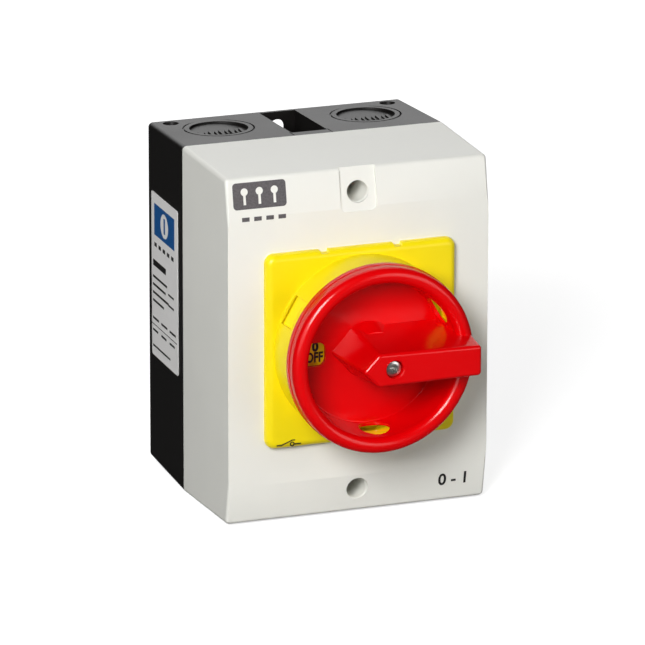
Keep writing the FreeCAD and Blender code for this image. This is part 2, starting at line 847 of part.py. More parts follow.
def cross_slots(label, x, z, depth, head):
    """The two bars of the cross recess in a head of a given radius."""
    reach = f"{head}*recess_share"
    half = "recess_half"
    return [
        box(f"{label}_slot_across", (f"{x}-{reach}", f"{x}+{reach}"), depth,
            (f"{z}-{half}", f"{z}+{half}")),
        box(f"{label}_slot_up", (f"{x}-{half}", f"{x}+{half}"), depth,
            (f"{z}-{reach}", f"{z}+{reach}")),
    ]


# ---------------------------------------------------------------- escutcheon
def escutcheon():
    """Yellow plate, tapered collar and dial in one moulding."""
    body = doc.addObject("PartDesign::Body", "plate_body")
    pad = body.newObject("PartDesign::Pad", "plate_pad")
    pad.Profile = rectangle(sketch_on(body, "plate_outline", "front", FRONT),
                            "plate_size/2", "plate_size/2")
    bind(pad, Length="plate_thick")
    doc.recompute()
    corner = body.newObject("PartDesign::Fillet", "plate_corners")
    corner.Base = (pad, edges_where(pad, runs_back))
    bind(corner, Radius="plate_corner")
    doc.recompute()
    front = size(PLATE_FRONT)
    edge = body.newObject("PartDesign::Fillet", "plate_front_edge")
    edge.Base = (corner, edges_where(
        corner, lambda e: all(abs(v.Point.y + front) < 0.01 for v in e.Vertexes)))
    bind(edge, Radius="plate_edge")
    collar = cone("collar_cone", (f"{PLATE_FRONT}-past/2", COLLAR_TOP), COLLAR_BASE, COLLAR_OUT)
    solid = fuse("plate_solid", [body, collar])
    tools = [
        rod("collar_room", "0", "0", (DIAL, f"{COLLAR_TOP}+past"), "collar_bore"),
        rod("dial_room", "0", "0", (f"{FRONT}-past", f"{DIAL}-dial_thick"),
            "dial_hollow"),
        rod("dial_hole", "0", "0", (f"{FRONT}-past", f"{DIAL}+past"),
            "hub_radius+hub_gap"),
        stop_groove(),
    ]
    for side, hand in SIDES:
        tools.append(box(f"notch_{side}",
                         (f"{hand}*notch_x-notch_width/2", f"{hand}*notch_x+notch_width/2"),
                         (f"{FRONT}-past", f"{PLATE_FRONT}+past"),
                         ("plate_size/2-notch_depth", "plate_size/2+past")))
    channel = hasp_channel()
    tools += [turned(f"hasp_channel_{index}", channel, angle)
              for index, angle in enumerate(HASP_ANGLES)]
    for end, sign in ENDS:
        for side, hand in SIDES:
            tools.append(rod(f"{end}_{side}_plate_thread", f"{hand}*plate_screw_at",
                             f"{sign}*plate_screw_at",
                             (f"{FRONT}-past", f"{FRONT}+plate_screw_bite"),
                             "plate_screw_radius+fit_gap/2"))
    node(cut("yellow_escutcheon", solid, tools), "yellow_escutcheon")


def hasp_channel():
    """Slanted way for a padlock shackle, low outside and high inside."""
    plan = doc.addObject("Sketcher::SketchObject", "hasp_plan")
    bind(plan, Placement__Base__z="-hasp_half")
    inner_top = f"-({FRONT}+hasp_inner_top)"
    outline(plan, [
        (f"{COLLAR_BASE}-hasp_inset", f"-({FRONT}+hasp_floor)"),
        (f"{COLLAR_BASE}-hasp_inset", f"-({PLATE_FRONT}+hasp_top)"),
        ("collar_bore-past", inner_top),
        ("hasp_inner", inner_top),
        ("hasp_inner", f"-({FRONT}+hasp_inner_floor)"),
    ])
    item = doc.addObject("Part::Extrusion", "hasp_channel")
    item.Base = plan
    item.DirMode = "Custom"
    item.Dir = Vector(0, 0, 1)
    item.Solid = True
    return bind(item, LengthFwd="2*hasp_half")


def stop_groove():
    """Quarter-circle groove in the dial for the handle's stop pin."""
    depth = (f"{DIAL}-dial_thick-past/2", f"{DIAL}+past")
    half = "stop_pin+stop_gap"
    ring = cut("stop_ring",
               rod("stop_ring_outer", "0", "0", depth, f"stop_circle+{half}"),
               [rod("stop_ring_inner", "0", "0",
                    (f"{depth[0]}-past", f"{depth[1]}+past"), f"stop_circle-({half})")])
    quarter = box("stop_quarter", ("0", "2*stop_circle"), depth,
                  ("0", "2*stop_circle"))
    sector = doc.addObject("Part::MultiCommon", "stop_sector")
    sector.Shapes = [ring, turned("stop_quarter_turned", quarter, 45)]
    reach = "stop_circle*sqrt(0.5)"
    ends = [rod(f"stop_end_{end}", reach, f"{sign}*{reach}", depth, half) for end, sign in ENDS]
    return fuse("stop_groove", [sector] + ends)


def plate_screws():
    """Four screws that hold the escutcheon from inside the cover."""
    screws = []
    seat = f"{FRONT}-front_wall"
    for end, sign in ENDS:
        for side, hand in SIDES:
            x = f"{hand}*plate_screw_at"
            z = f"{sign}*plate_screw_at"
            name = f"{end}_{side}_plate_screw"
            screws.append(cut(name, fuse(f"{name}_blank", [
                rod(f"{name}_head", x, z, (f"{seat}-plate_head_thick", seat), "plate_head_radius"),
                rod(f"{name}_shank", x, z, (seat, f"{FRONT}+plate_screw_bite-screw_gap"),
                    "plate_screw_radius"),
            ]), cross_slots(name, x, z, recess(f"{seat}-plate_head_thick", -1),
                            "plate_head_radius")))
    node(group("escutcheon_screws", screws), "escutcheon_screws")


# ---------------------------------------------------------------- handle
def handle():
    """Red cup with a fat rim, arrow lever, windows and a stop pin."""
    cup = cut("cup", fuse("cup_blank", [
        rod("cup_wall", "0", "0", (CUP_BACK, RIM_MIDDLE), CUP_OUTER),
        rod("rim_lip_disc", "0", "0", (RIM_BACK, f"{RIM_BACK}+rim_lip"), "rim_radius"),
        rod("rim_band", "0", "0", (f"{RIM_BACK}+rim_lip/2", RIM_MIDDLE), "rim_radius-rim_step"),
        donut("rim_crown", RIM_MIDDLE, "rim_radius-rim_step-rim_round", "rim_round"),
    ]), [cone("cup_hollow", (CUP_FRONT, RIM_MIDDLE), CUP_INNER, CUP_MOUTH),
         rod("cup_mouth", "0", "0", (f"{RIM_MIDDLE}-slide_gap", f"{RIM_CREST}+past"),
             CUP_MOUTH)])
    foot = lever_outline("lever_foot", CUP_BACK, "lever_tip_foot", "lever_half_foot",
                         "lever_half_foot", LEVER_END)
    crown = lever_outline("lever_crown", LEVER_TOP, "lever_tip_top", "lever_half_top",
                          "lever_half_end", f"{LEVER_END}-lever_end_draft")
    lever = doc.addObject("Part::Loft", "lever_loft")
    lever.Sections = [foot, crown]
    lever.Solid = True
    lever.Ruled = True
    envelope = fuse("lever_envelope", [
        rod("lever_inside_cup", "0", "0", (CUP_BACK, f"{RIM_BACK}+slide_gap"), CUP_OUTER),
        rod("lever_over_rim", "0", "0", (RIM_BACK, f"{LEVER_TOP}+past"), "rim_radius"),
    ])
    trimmed = doc.addObject("Part::MultiCommon", "lever_trimmed")
    trimmed.Shapes = [lever, envelope]
    bulge = cone("hub_bulge", (CUP_BACK, f"{CUP_FRONT}+bulge_height"), "bulge_foot", "bulge_top")
    reach = "stop_circle*sqrt(0.5)"
    pin = rod("stop_peg", reach, reach, (f"{DIAL}-dial_thick", f"{CUP_BACK}+past/2"), "stop_pin")
    core_end = f"{LEVER_END}-lever_end_draft-lever_wall"
    tools = [
        box("lever_core", ("bulge_foot+past", core_end),
            (f"{CUP_BACK}-past", f"{LEVER_TOP}-lever_wall"),
            ("-(lever_half_end-lever_wall)", "lever_half_end-lever_wall")),
        box("hub_key_seat", ("-hub_key/2", "hub_key/2"),
            (f"{CUP_BACK}-past", f"{CUP_BACK}+hub_key_height"),
            ("-hub_key/2", "hub_key/2")),
        rod("handle_screw_hole", "0", "0", (CUP_BACK, f"{LEVER_TOP}+past"),
            "handle_screw_radius+screw_gap"),
        rod("handle_screw_seat", "0", "0",
            (f"{LEVER_TOP}-handle_screw_sink-handle_head_thick", f"{LEVER_TOP}+past"), "handle_bore"),
        rounded_block("off_window", ("-window_outer", "-window_inner"),
                      (f"{CUP_BACK}-past", f"{CUP_FRONT}+past"), ("-window_half", "window_half"),
                      "window_corner"),
    ]
    window = cross_rod("hasp_window", (f"{CUP_INNER}-past", f"{CUP_OUTER}+rim_gap/2"), HASP_EYE,
                       "0", "hasp_half")
    tools += [turned(f"hasp_window_{index}", window, angle)
              for index, angle in enumerate(HASP_ANGLES)]
    node(cut("rotary_handle", fuse("handle_solid", [cup, trimmed, bulge, pin]), tools),
         "rotary_handle")


def lever_outline(label, depth, tip, half, half_end, end):
    """Arrow-shaped plan of the lever at one depth."""
    return outline(free_sketch(label, depth), [
        (f"-{tip}", "0"),
        ("-lever_shoulder", f"-{half}"),
        (end, f"-{half_end}"),
        (end, half_end),
        ("-lever_shoulder", half),
    ])


def handle_screw():
    """Chromed cross-recess screw down the middle of the lever."""
    seat = f"{LEVER_TOP}-handle_screw_sink-handle_head_thick"
    blank = fuse("handle_screw_blank", [
        rod("handle_screw_head", "0", "0", (seat, f"{LEVER_TOP}-handle_screw_sink"),
            "handle_head_radius"),
        rod("handle_screw_shank", "0", "0", (f"{CUP_BACK}-3", seat), "handle_screw_radius"),
    ])
    slots = cross_slots("handle_screw", "0", "0",
                        recess(f"{LEVER_TOP}-handle_screw_sink"), "handle_head_radius")
    node(cut("handle_screw", blank, slots), "handle_screw")


def handle_hub():
    """Socket that carries the handle through the cover onto the shaft."""
    clip_back = f"{FRONT}-front_wall-clip_thick-clip_gap"
    half = "shaft_side/2+socket_gap"
    blank = fuse("hub_blank", [
        rod("hub_barrel", "0", "0", (HUB_END, CUP_BACK), "hub_radius"),
        box("hub_key_block", ("-hub_key/2", "hub_key/2"),
            (f"{CUP_BACK}-past", f"{CUP_BACK}+hub_key_height"),
            ("-hub_key/2", "hub_key/2")),
    ])
    tools = [
        box("hub_socket", (f"-({half})", half), (f"{HUB_END}-past", f"{SHAFT_FRONT}+room_gap"),
            (f"-({half})", half)),
        rod("hub_thread", "0", "0", (SHAFT_FRONT, f"{CUP_BACK}+hub_key_height+past"),
            "handle_screw_radius+fit_gap/2"),
        cut("hub_groove", rod("hub_groove_outer", "0", "0",
                              (clip_back, f"{clip_back}+clip_thick"), "hub_radius+past"),
            [rod("hub_groove_inner", "0", "0", (f"{clip_back}-past", f"{clip_back}+clip_thick+past"),
                 "hub_radius-clip_groove")]),
    ]
    node(cut("handle_hub", blank, tools), "handle_hub")
    ring = cut("hub_clip_ring",
               rod("hub_clip_outer", "0", "0", (clip_back, f"{clip_back}+clip_thick"),
                   "clip_radius"),
               [rod("hub_clip_inner", "0", "0", (f"{clip_back}-past", f"{clip_back}+clip_thick+past"),
                    "hub_radius-clip_groove"),
                box("hub_clip_gap", ("-clip_opening", "clip_opening"),
                    (f"{clip_back}-past", f"{clip_back}+clip_thick+past"),
                    ("-2*clip_radius", "0"))])
    node(ring, "hub_clip")
    node(donut("handle_seal", f"{FRONT}-seal_section", "hub_radius+hub_gap+seal_section",
               "seal_section"), "handle_seal")


# ---------------------------------------------------------------- switch frame
def mounting_foot():
    """Grey foot under the contact decks, with an ear at each end."""
    solids = [
        rounded_block("foot_block", ("-foot_width/2", "foot_width/2"),
                      ("floor_wall", "foot_front"), ("-foot_height/2", "foot_height/2"),
                      "deck_corner"),
        box("foot_ears", ("-ear_half", "ear_half"), ("foot_front-ear_thick", "foot_front"),
            ("-ear_end", "ear_end")),
    ]
    tools = [rod("foot_bearing", "0", "0", ("journal_back-room_gap", "foot_front+past"),
                 "journal_radius+fit_gap")]
    for end, sign in ENDS:
        tools.append(rod(f"{end}_foot_hole", "0", f"{sign}*foot_screw_z",
                         ("foot_front-ear_thick-past", "foot_front+past"), "foot_screw_radius+screw_gap"))
        tools.append(rod(f"{end}_foot_tie", "0", f"{sign}*tie_z",
                         ("floor_wall-past", "foot_front+past"), "tie_radius+fit_gap/2"))
    node(cut("mounting_foot", fuse("foot_solid", solids), tools), "mounting_foot")

    screws = []
    for end, sign in ENDS:
        z = f"{sign}*foot_screw_z"
        name = f"{end}_foot_screw"
        screws.append(cut(name, fuse(f"{name}_blank", [
            rod(f"{name}_head", "0", z, ("foot_front", "foot_front+foot_head_thick"),
                "foot_head_radius"),
            rod(f"{name}_shank", "0", z, ("floor_wall/2", "foot_front"), "foot_screw_radius"),
        ]), cross_slots(name, "0", z, recess("foot_front+foot_head_thick"),
                       "foot_head_radius")))
    node(group("foot_screws", screws), "foot_screws")


def contact_deck(name, back):
    """Open-fronted deck with room for the cam and two poles."""
    cavity = (f"{back}+deck_floor", f"{back}+deck_thick+past")
    blank = rounded_block(f"{name}_block", ("-deck_width/2", "deck_width/2"),
                          (back, f"{back}+deck_thick"), ("-deck_height/2", "deck_height/2"),
                          "deck_corner")
    slide = "carrier_half+carrier_gap"
    middle = f"{back}+deck_floor+(deck_thick-deck_floor)/2"
    tools = [
        rod(f"{name}_cam_room", "0", "0", cavity, "cam_high+cam_clear"),
        rod(f"{name}_shaft_hole", "0", "0", (f"{back}-past", f"{back}+deck_floor+past"),
            "shaft_side*sqrt(0.5)+carrier_gap"),
    ]
    for side, hand in SIDES:
        tools.append(box(f"{name}_{side}_slide", mirrored(hand, "cam_low", "deck_width/2-latch_wall"),
                         cavity, (f"-({slide})", slide)))
        tools.append(box(f"{name}_{side}_arc_room",
                         mirrored(hand, STRIP_OUT, "bridge_at+bridge_thick+arc_gap"),
                         cavity, ("-(bridge_half+arc_gap)", "bridge_half+arc_gap")))
        for end, sign in ENDS:
            near, far = sorted_span(sign, "strip_inner_z", "deck_height/2+past")
            tools.append(box(f"{name}_{side}_{end}_strip_room",
                             mirrored(hand, STRIP_IN, STRIP_OUT), cavity, (near, far)))
            near, far = sorted_span(sign, "clamp_z-clamp_height/2", "deck_height/2+past")
            tools.append(box(f"{name}_{side}_{end}_clamp_room",
                             mirrored(hand, STRIP_OUT, f"{STRIP_OUT}+clamp_length"), cavity,
                             (near, far)))
            tools.append(cross_rod(f"{name}_{side}_{end}_driver",
                                   mirrored(hand, f"{STRIP_OUT}+clamp_length-past", "deck_width/2+past"),
                                   middle, f"{sign}*clamp_z", "terminal_head_radius+room_gap"))
    for end, sign in ENDS:
        tools.append(rod(f"{name}_{end}_tie", "0", f"{sign}*tie_z",
                         (f"{back}-past", f"{back}+deck_thick+past"), "tie_radius+screw_gap"))
    node(cut(name, blank, tools), name)


def mirrored(hand, near, far):
    """One X span, on the left or the right of the shaft."""
    return sorted_span(hand, near, far)


def pole(number, back, hand):
    """Carrier, bridge and spring of one pole; they slide along X."""
    middle = f"{back}+deck_floor+(deck_thick-deck_floor)/2"
    nose = "cam_high+nose_gap"
    name = f"pole_{number}"
    x = mirrored(hand, f"{nose}+nose_round", "carrier_back")
    half_y = "carrier_thick/2"
    blank = fuse(f"{name}_blank", [
        box(f"{name}_block", x, (f"{middle}-{half_y}", f"{middle}+{half_y}"),
            ("-carrier_half", "carrier_half")),
        upright_nose(name, hand, nose, middle),
    ])
    tools = [
        box(f"{name}_window",
            mirrored(hand, "bridge_at-fit_gap", "bridge_at+bridge_thick+fit_gap"),
            (f"{middle}-bridge_width/2-fit_gap", f"{middle}+bridge_width/2+fit_gap"),
            ("-carrier_half-past", "carrier_half+past")),
        cross_rod(f"{name}_spring_room",
                  mirrored(hand, "bridge_at+bridge_thick+past", "carrier_back+past"),
                  middle, "0", "spring_radius+spring_wire+room_gap"),
    ]
    node(cut(f"contact_carrier_{number}", blank, tools), f"contact_carrier_{number}")
    bar = box(f"{name}_bar", mirrored(hand, "bridge_at", "bridge_at+bridge_thick"),
              (f"{middle}-bridge_width/2", f"{middle}+bridge_width/2"),
              ("-bridge_half", "bridge_half"))
    tips = [cross_rod(f"{name}_{end}_tip",
                      mirrored(hand, "bridge_at-contact_rise", "bridge_at"), middle,
                      f"{sign}*contact_z", "contact_radius") for end, sign in ENDS]
    node(fuse(f"contact_bridge_{number}", [bar] + tips), f"contact_bridge_{number}")
    start = size("bridge_at+bridge_thick+past")
    length = size("deck_width/2-latch_wall") - start
    coil = spring_shape(size("spring_radius"), size("spring_wire/2"), length,
                        size("spring_turns"))
    place = Placement(Vector(hand * start, -size(middle), 0),
                      Rotation(Vector(0, 0, 1), 0 if hand > 0 else 180))
    node(feature(f"contact_spring_{number}", coil, place), f"contact_spring_{number}")


def upright_nose(name, hand, nose, middle):
    """Rounded nose of a carrier, which rides on the cam."""
    half = "cam_thick/2-nose_inset"
    tip = doc.addObject("Part::Cylinder", f"{name}_nose_round")
    tip.Placement = Placement(Vector(), Rotation(Vector(1, 0, 0), 90))
    bind(tip, Radius="nose_round", Height=f"2*({half})",
         Placement__Base__x=f"{hand}*({nose}+nose_round)",
         Placement__Base__y=f"-({middle}-({half}))")
    return tip


def fixed_contacts():
    """Eight fixed contacts with their clamps and terminal screws."""
    strips, clamps, screws = [], [], []
    for deck, back in enumerate(DECK_BACKS):
        middle = f"{back}+deck_floor+(deck_thick-deck_floor)/2"
        for side, hand in SIDES:
            for end, sign in ENDS:
                name = f"deck{'ab'[deck]}_{side}_{end}"
                near, far = sorted_span(sign, "strip_inner_z+fit_gap", "strip_outer_z")
                bar = box(f"{name}_strip", mirrored(hand, STRIP_IN, STRIP_OUT),
                          (f"{middle}-strip_width/2", f"{middle}+strip_width/2"), (near, far))
                tip = cross_rod(f"{name}_button",
                                mirrored(hand, STRIP_OUT, f"{STRIP_OUT}+contact_rise"),
                                middle, f"{sign}*contact_z", "contact_radius")
                strips.append(fuse(f"{name}_contact", [bar, tip]))
                near, far = sorted_span(sign, "clamp_z-clamp_height/2+slide_gap",
                                        "clamp_z+clamp_height/2")
                cage = box(f"{name}_cage",
                           mirrored(hand, STRIP_OUT, f"{STRIP_OUT}+clamp_length-screw_gap"),
                           (f"{middle}-clamp_width/2", f"{middle}+clamp_width/2"), (near, far))
                z = f"{sign}*clamp_z"
                mouth = box(f"{name}_wire_way",
                            mirrored(hand, f"{STRIP_OUT}+wire_from", f"{STRIP_OUT}+wire_to"),
                            (f"{middle}-clamp_width/2+clamp_wall",
                             f"{middle}+clamp_width/2-clamp_wall"),
                            (f"{z}-clamp_height", f"{z}+clamp_height"))
                thread = cross_rod(f"{name}_thread",
                                   mirrored(hand, f"{STRIP_OUT}+clamp_thread",
                                            f"{STRIP_OUT}+clamp_length+past"),
                                   middle, z, "terminal_screw_radius+fit_gap/2")
                clamps.append(cut(f"{name}_clamp", cage, [mouth, thread]))
                head_at = f"{STRIP_OUT}+clamp_length"
                screws.append(cut(f"{name}_screw", fuse(f"{name}_screw_blank", [
                    cross_rod(f"{name}_screw_head",
                              mirrored(hand, head_at, f"{head_at}+terminal_head_thick"),
                              middle, z, "terminal_head_radius"),
                    cross_rod(f"{name}_screw_shank",
                              mirrored(hand, f"{STRIP_OUT}+terminal_screw_from", head_at),
                              middle, z, "terminal_screw_radius"),
                ]), [box(f"{name}_screw_slot",
                         mirrored(hand, f"{head_at}+terminal_head_thick-driver_slot",
                                  f"{head_at}+terminal_head_thick+past"),
                         (f"{middle}-recess_half", f"{middle}+recess_half"),
                         (f"{z}-2*terminal_head_radius", f"{z}+2*terminal_head_radius"))]))
    node(group("fixed_contacts", strips), "fixed_contacts")
    node(group("terminal_clamps", clamps), "terminal_clamps")
    node(group("terminal_screws", screws), "terminal_screws")


def latch():
    """Detent housing, its cover plate, plungers, springs and tie screws."""
    cavity = (f"{LATCH_BACK}+deck_floor", f"{LATCH_FRONT}+past")
    blank = rounded_block("latch_block", ("-latch_width/2", "latch_width/2"),
                          (LATCH_BACK, LATCH_FRONT), ("-latch_height/2", "latch_height/2"),
                          "deck_corner")
    tools = [
        rod("latch_room", "0", "0", cavity, "wheel_radius+past"),
        rod("latch_shaft_hole", "0", "0", (f"{LATCH_BACK}-past", f"{LATCH_BACK}+deck_floor+past"),
            "shaft_side*sqrt(0.5)+carrier_gap"),
    ]
    for side, hand in SIDES:
        tools.append(box(f"latch_{side}_slide",
                         mirrored(hand, "wheel_radius/2", "latch_width/2-latch_wall"), cavity,
                         ("-(plunger_half+slide_gap)", "plunger_half+slide_gap")))
    plate_tools = [rod("top_plate_bore", "0", "0", (f"{LATCH_FRONT}-past", f"{TOP_FRONT}+past"),
                       "wheel_journal+fit_gap")]
    ties = []
    for end, sign in ENDS:
        z = f"{sign}*tie_z"
        tools.append(rod(f"latch_{end}_tie", "0", z, (f"{LATCH_BACK}-past", f"{LATCH_FRONT}+past"),
                         "tie_radius+screw_gap"))
        plate_tools.append(rod(f"plate_{end}_tie", "0", z,
                               (f"{LATCH_FRONT}-past", f"{TOP_FRONT}+past"), "tie_radius+screw_gap"))
        ties.append(cut(f"{end}_tie_screw", fuse(f"{end}_tie_blank", [
            rod(f"{end}_tie_head", "0", z, (TOP_FRONT, f"{TOP_FRONT}+tie_head_thick"),
                "tie_head_radius"),
            rod(f"{end}_tie_shank", "0", z, ("floor_wall+tie_short", TOP_FRONT), "tie_radius"),
        ]), cross_slots(f"{end}_tie", "0", z, recess(f"{TOP_FRONT}+tie_head_thick"),
                       "tie_head_radius")))
    node(cut("detent_housing", blank, tools), "detent_housing")
    node(cut("bearing_plate", rounded_block(
        "plate_block", ("-latch_width/2", "latch_width/2"), (LATCH_FRONT, TOP_FRONT),
        ("-latch_height/2", "latch_height/2"), "deck_corner"), plate_tools), "bearing_plate")
    node(group("tie_screws", ties), "tie_screws")

    middle = f"{LATCH_BACK}+deck_floor+(latch_thick-deck_floor)/2"
    plungers, springs = [], []
    for side, hand in SIDES:
        near = "wheel_radius+nose_gap"
        block = box(f"{side}_plunger_block",
                    mirrored(hand, f"{near}+nose_round", f"{near}+plunger_length"),
                    (f"{middle}-plunger_thick/2", f"{middle}+plunger_thick/2"),
                    ("-plunger_half", "plunger_half"))
        tip = doc.addObject("Part::Cylinder", f"{side}_plunger_tip")
        tip.Placement = Placement(Vector(), Rotation(Vector(1, 0, 0), 90))
        bind(tip, Radius="nose_round", Height="plunger_thick",
             Placement__Base__x=f"{hand}*({near}+nose_round)",
             Placement__Base__y=f"-({middle}-plunger_thick/2)")
        plungers.append(fuse(f"{side}_plunger", [block, tip]))
        start = size(f"{near}+plunger_length")
        length = size("latch_width/2-latch_wall") - start
        coil = spring_shape(size("spring_radius"), size("spring_wire/2"), length,
                            size("spring_turns"))
        place = Placement(Vector(hand * start, -size(middle), 0),
                          Rotation(Vector(0, 0, 1), 0 if hand > 0 else 180))
        springs.append(feature(f"{side}_detent_coil", coil, place))
    node(group("detent_plungers", plungers), "detent_plungers")
    node(group("detent_springs", springs), "detent_springs")


# ---------------------------------------------------------------- rotor
def rotor():
    """Square shaft, two cams, detent wheel and the rear circlip."""
    half = "shaft_side/2"
    node(fuse("drive_shaft", [
        box("shaft_bar", (f"-{half}", half), ("foot_front+screw_gap", SHAFT_FRONT),
            (f"-{half}", half)),
        rod("shaft_journal", "0", "0", ("journal_back", "foot_front+past"), "journal_radius"),
    ]), "drive_shaft")
    for number, back in enumerate(DECK_BACKS):
        middle = f"{back}+deck_floor+(deck_thick-deck_floor)/2"
        label = ("rear_cam", "front_cam")[number]
        lobe = feature(f"{label}_lobe", cam_shape(size("cam_thick")),
                       Placement(Vector(0, -size(f"{middle}-cam_thick/2"), 0), Rotation()))
        hole = box(f"{label}_hole", (f"-{half}", half),
                   (f"{middle}-cam_thick", f"{middle}+cam_thick"), (f"-{half}", half))
        node(cut(label, lobe, [hole]), label)
    middle = f"{LATCH_BACK}+deck_floor+wheel_gap"
    disc = fuse("wheel_blank", [
        rod("wheel_disc", "0", "0", (middle, f"{middle}+wheel_thick"), "wheel_radius"),
        rod("wheel_neck", "0", "0", (middle, f"{TOP_FRONT}+circlip_gap"), "wheel_journal"),
    ])
    notch = rod("wheel_notch_tool", "wheel_radius+wheel_notch-wheel_notch_bite", "0",
                (f"{middle}-past", f"{middle}+wheel_thick+fit_gap"), "wheel_notch")
    tools = [turned(f"wheel_notch_{index}", notch, 90 * index) for index in range(4)]
    tools.append(box("wheel_hole", (f"-{half}", half), (f"{middle}-past", f"{TOP_FRONT}+2"),
                     (f"-{half}", half)))
    node(cut("detent_wheel", disc, tools), "detent_wheel")
    clip = f"{TOP_FRONT}+circlip_gap"
    node(cut("shaft_retainer",
             rod("retainer_disc", "0", "0", (clip, f"{clip}+circlip_thick"),
                 "circlip_radius"),
             [box("retainer_hole", (f"-{half}", half), (f"{clip}-past", f"{clip}+circlip_thick+past"),
                  (f"-{half}", half))]), "shaft_retainer")


def cam_shape(thick):
    """Two-lobed cam; each lobe falls evenly over a quarter turn clockwise."""
    high, low = size("cam_high"), size("cam_low")
    lead = 8.0
    fall = (high - low) / 90.0
    edges = []
    for turn in (0.0, 180.0):
        slope = [spiral_point(turn - lead + step * (90.0 + 2 * lead) / 12,
                              high + fall * lead - fall * step * (90.0 + 2 * lead) / 12)
                 for step in range(13)]
        curve = Part.BSplineCurve()
        curve.interpolate(slope)
        edges.append(curve.toShape())
        start, end = slope[-1], spiral_point(turn + 180.0 - lead, high + fall * lead)
        middle = spiral_point(turn + 90.0 + lead + (90.0 - 2 * lead) / 2, (high + low) / 2)
        edges.append(Part.Arc(start, middle, end).toShape())
    face = Part.Face(Part.Wire(edges))
    return face.extrude(Vector(0, -thick, 0))


def spiral_point(angle, radius):
    """A point of the cam's edge; the angle runs against the turning sense."""
    turn = math.radians(angle)
    return Vector(radius * math.cos(turn), 0, radius * math.sin(turn))


# ---------------------------------------------------------------- earth
def earth_terminal():
    """Brass earth block on the base's pad, with its screw."""
    x = "-earth_x"
    z = "-earth_z"
    back = "floor_wall+earth_pad"
    front = f"{back}+earth_height"
    side = "earth_side/2"
    block = box("earth_blank", (f"{x}-{side}", f"{x}+{side}"), (back, front),
                (f"{z}-{side}", f"{z}+{side}"))
    wire_way = upright_rod("earth_wire_way", x, f"{back}+earth_wire_at",
                           (f"{z}-earth_side", f"{z}+earth_side"), "earth_wire_radius")
    thread = rod("earth_thread", x, z, (f"{back}+earth_wire_at", f"{front}+past"),
                 "earth_screw_radius+fit_gap/2")
    node(cut("earth_terminal", block, [wire_way, thread]), "earth_terminal")
    screw = cut("earth_screw_cut", fuse("earth_screw_blank", [
        rod("earth_head", x, z, (front, f"{front}+earth_head_thick"), "earth_head_radius"),
        rod("earth_shank", x, z, (f"{back}+earth_screw_from", front), "earth_screw_radius"),
    ]), cross_slots("earth", x, z, recess(f"{front}+earth_head_thick"), "earth_head_radius"))
    node(screw, "earth_screw")


# ---------------------------------------------------------------- build
rear_box()
inserts()
rating_label()
front_cover()
cover_gasket()
cover_screws()
escutcheon()
plate_screws()
handle()
handle_screw()
handle_hub()
mounting_foot()
for deck_name, deck_back in zip(DECK_NAMES, DECK_BACKS):
    contact_deck(deck_name, deck_back)
POLES = [(back, hand) for back in DECK_BACKS for _, hand in SIDES]
for pole_number, (deck_back, side_hand) in enumerate(POLES, start=1):
    pole(pole_number, deck_back, side_hand)
fixed_contacts()
latch()
rotor()
earth_terminal()
doc.recompute()

for item in doc.Objects:
    if "Invalid" in item.State or "Error" in item.State:
        raise RuntimeError(f"{item.Label} failed: {item.State}")
os.makedirs("parts", exist_ok=True)
for item in NODES:
    if item.Shape.isNull() or not item.Shape.isValid():
        raise RuntimeError(f"{item.Label} has no valid shape")
    item.Shape.exportStep(f"parts/{item.Label}.step")
    print(item.Label, len(item.Shape.Solids), round(item.Shape.Volume, 1))
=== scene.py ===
"""Rotary isolator switch: black base, off-white cover, yellow plate and red handle.

A piece is modelled in millimetres and placed in metres. X runs to the right, Z up, and the
front faces -Y. "Depth" is the distance in front of the flat back, so y = -depth.
"""
from __future__ import annotations

import json
import logging
import math
from collections.abc import Callable, Sequence
from dataclasses import dataclass, field
from enum import Enum

import bmesh
import bpy
from mathutils import Matrix, Vector

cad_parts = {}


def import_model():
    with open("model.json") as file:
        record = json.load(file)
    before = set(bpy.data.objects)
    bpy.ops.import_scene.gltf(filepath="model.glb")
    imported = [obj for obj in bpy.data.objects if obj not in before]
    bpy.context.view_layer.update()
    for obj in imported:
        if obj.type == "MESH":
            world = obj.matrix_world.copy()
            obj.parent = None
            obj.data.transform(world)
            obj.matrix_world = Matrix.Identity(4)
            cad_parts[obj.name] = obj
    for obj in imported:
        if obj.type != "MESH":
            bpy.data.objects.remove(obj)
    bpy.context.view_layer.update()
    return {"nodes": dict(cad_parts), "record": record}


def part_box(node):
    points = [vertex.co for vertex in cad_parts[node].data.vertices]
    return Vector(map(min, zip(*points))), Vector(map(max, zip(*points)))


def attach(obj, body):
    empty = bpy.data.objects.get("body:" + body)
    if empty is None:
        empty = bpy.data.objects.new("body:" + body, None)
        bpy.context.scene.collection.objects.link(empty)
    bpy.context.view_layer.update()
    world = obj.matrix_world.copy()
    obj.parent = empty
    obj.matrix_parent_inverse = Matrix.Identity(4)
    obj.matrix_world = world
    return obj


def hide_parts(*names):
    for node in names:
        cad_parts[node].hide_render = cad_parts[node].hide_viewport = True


LOG = logging.getLogger("isolator")
MM = 0.001
PAST = 1.0  # how far a tool runs past what it cuts
TOUCH = 0.01  # lengths closer than this count as equal
FUSED = 1e-4  # vertices closer than this become one
SIDES = (1, -1)  # top and bottom ends, or right and left
CAPITAL = 0.7  # a capital's height as a share of the figures' size
Point = tuple[float, float]
Corner = tuple[float, float, float]
Span = tuple[float, float]
EdgeTest = Callable[[bmesh.types.BMEdge], bool]


class Body(Enum):
    """The rigid bodies that visible pieces ride on."""

    BASE = "base"
    COVER = "cover"
    HANDLE = "handle"


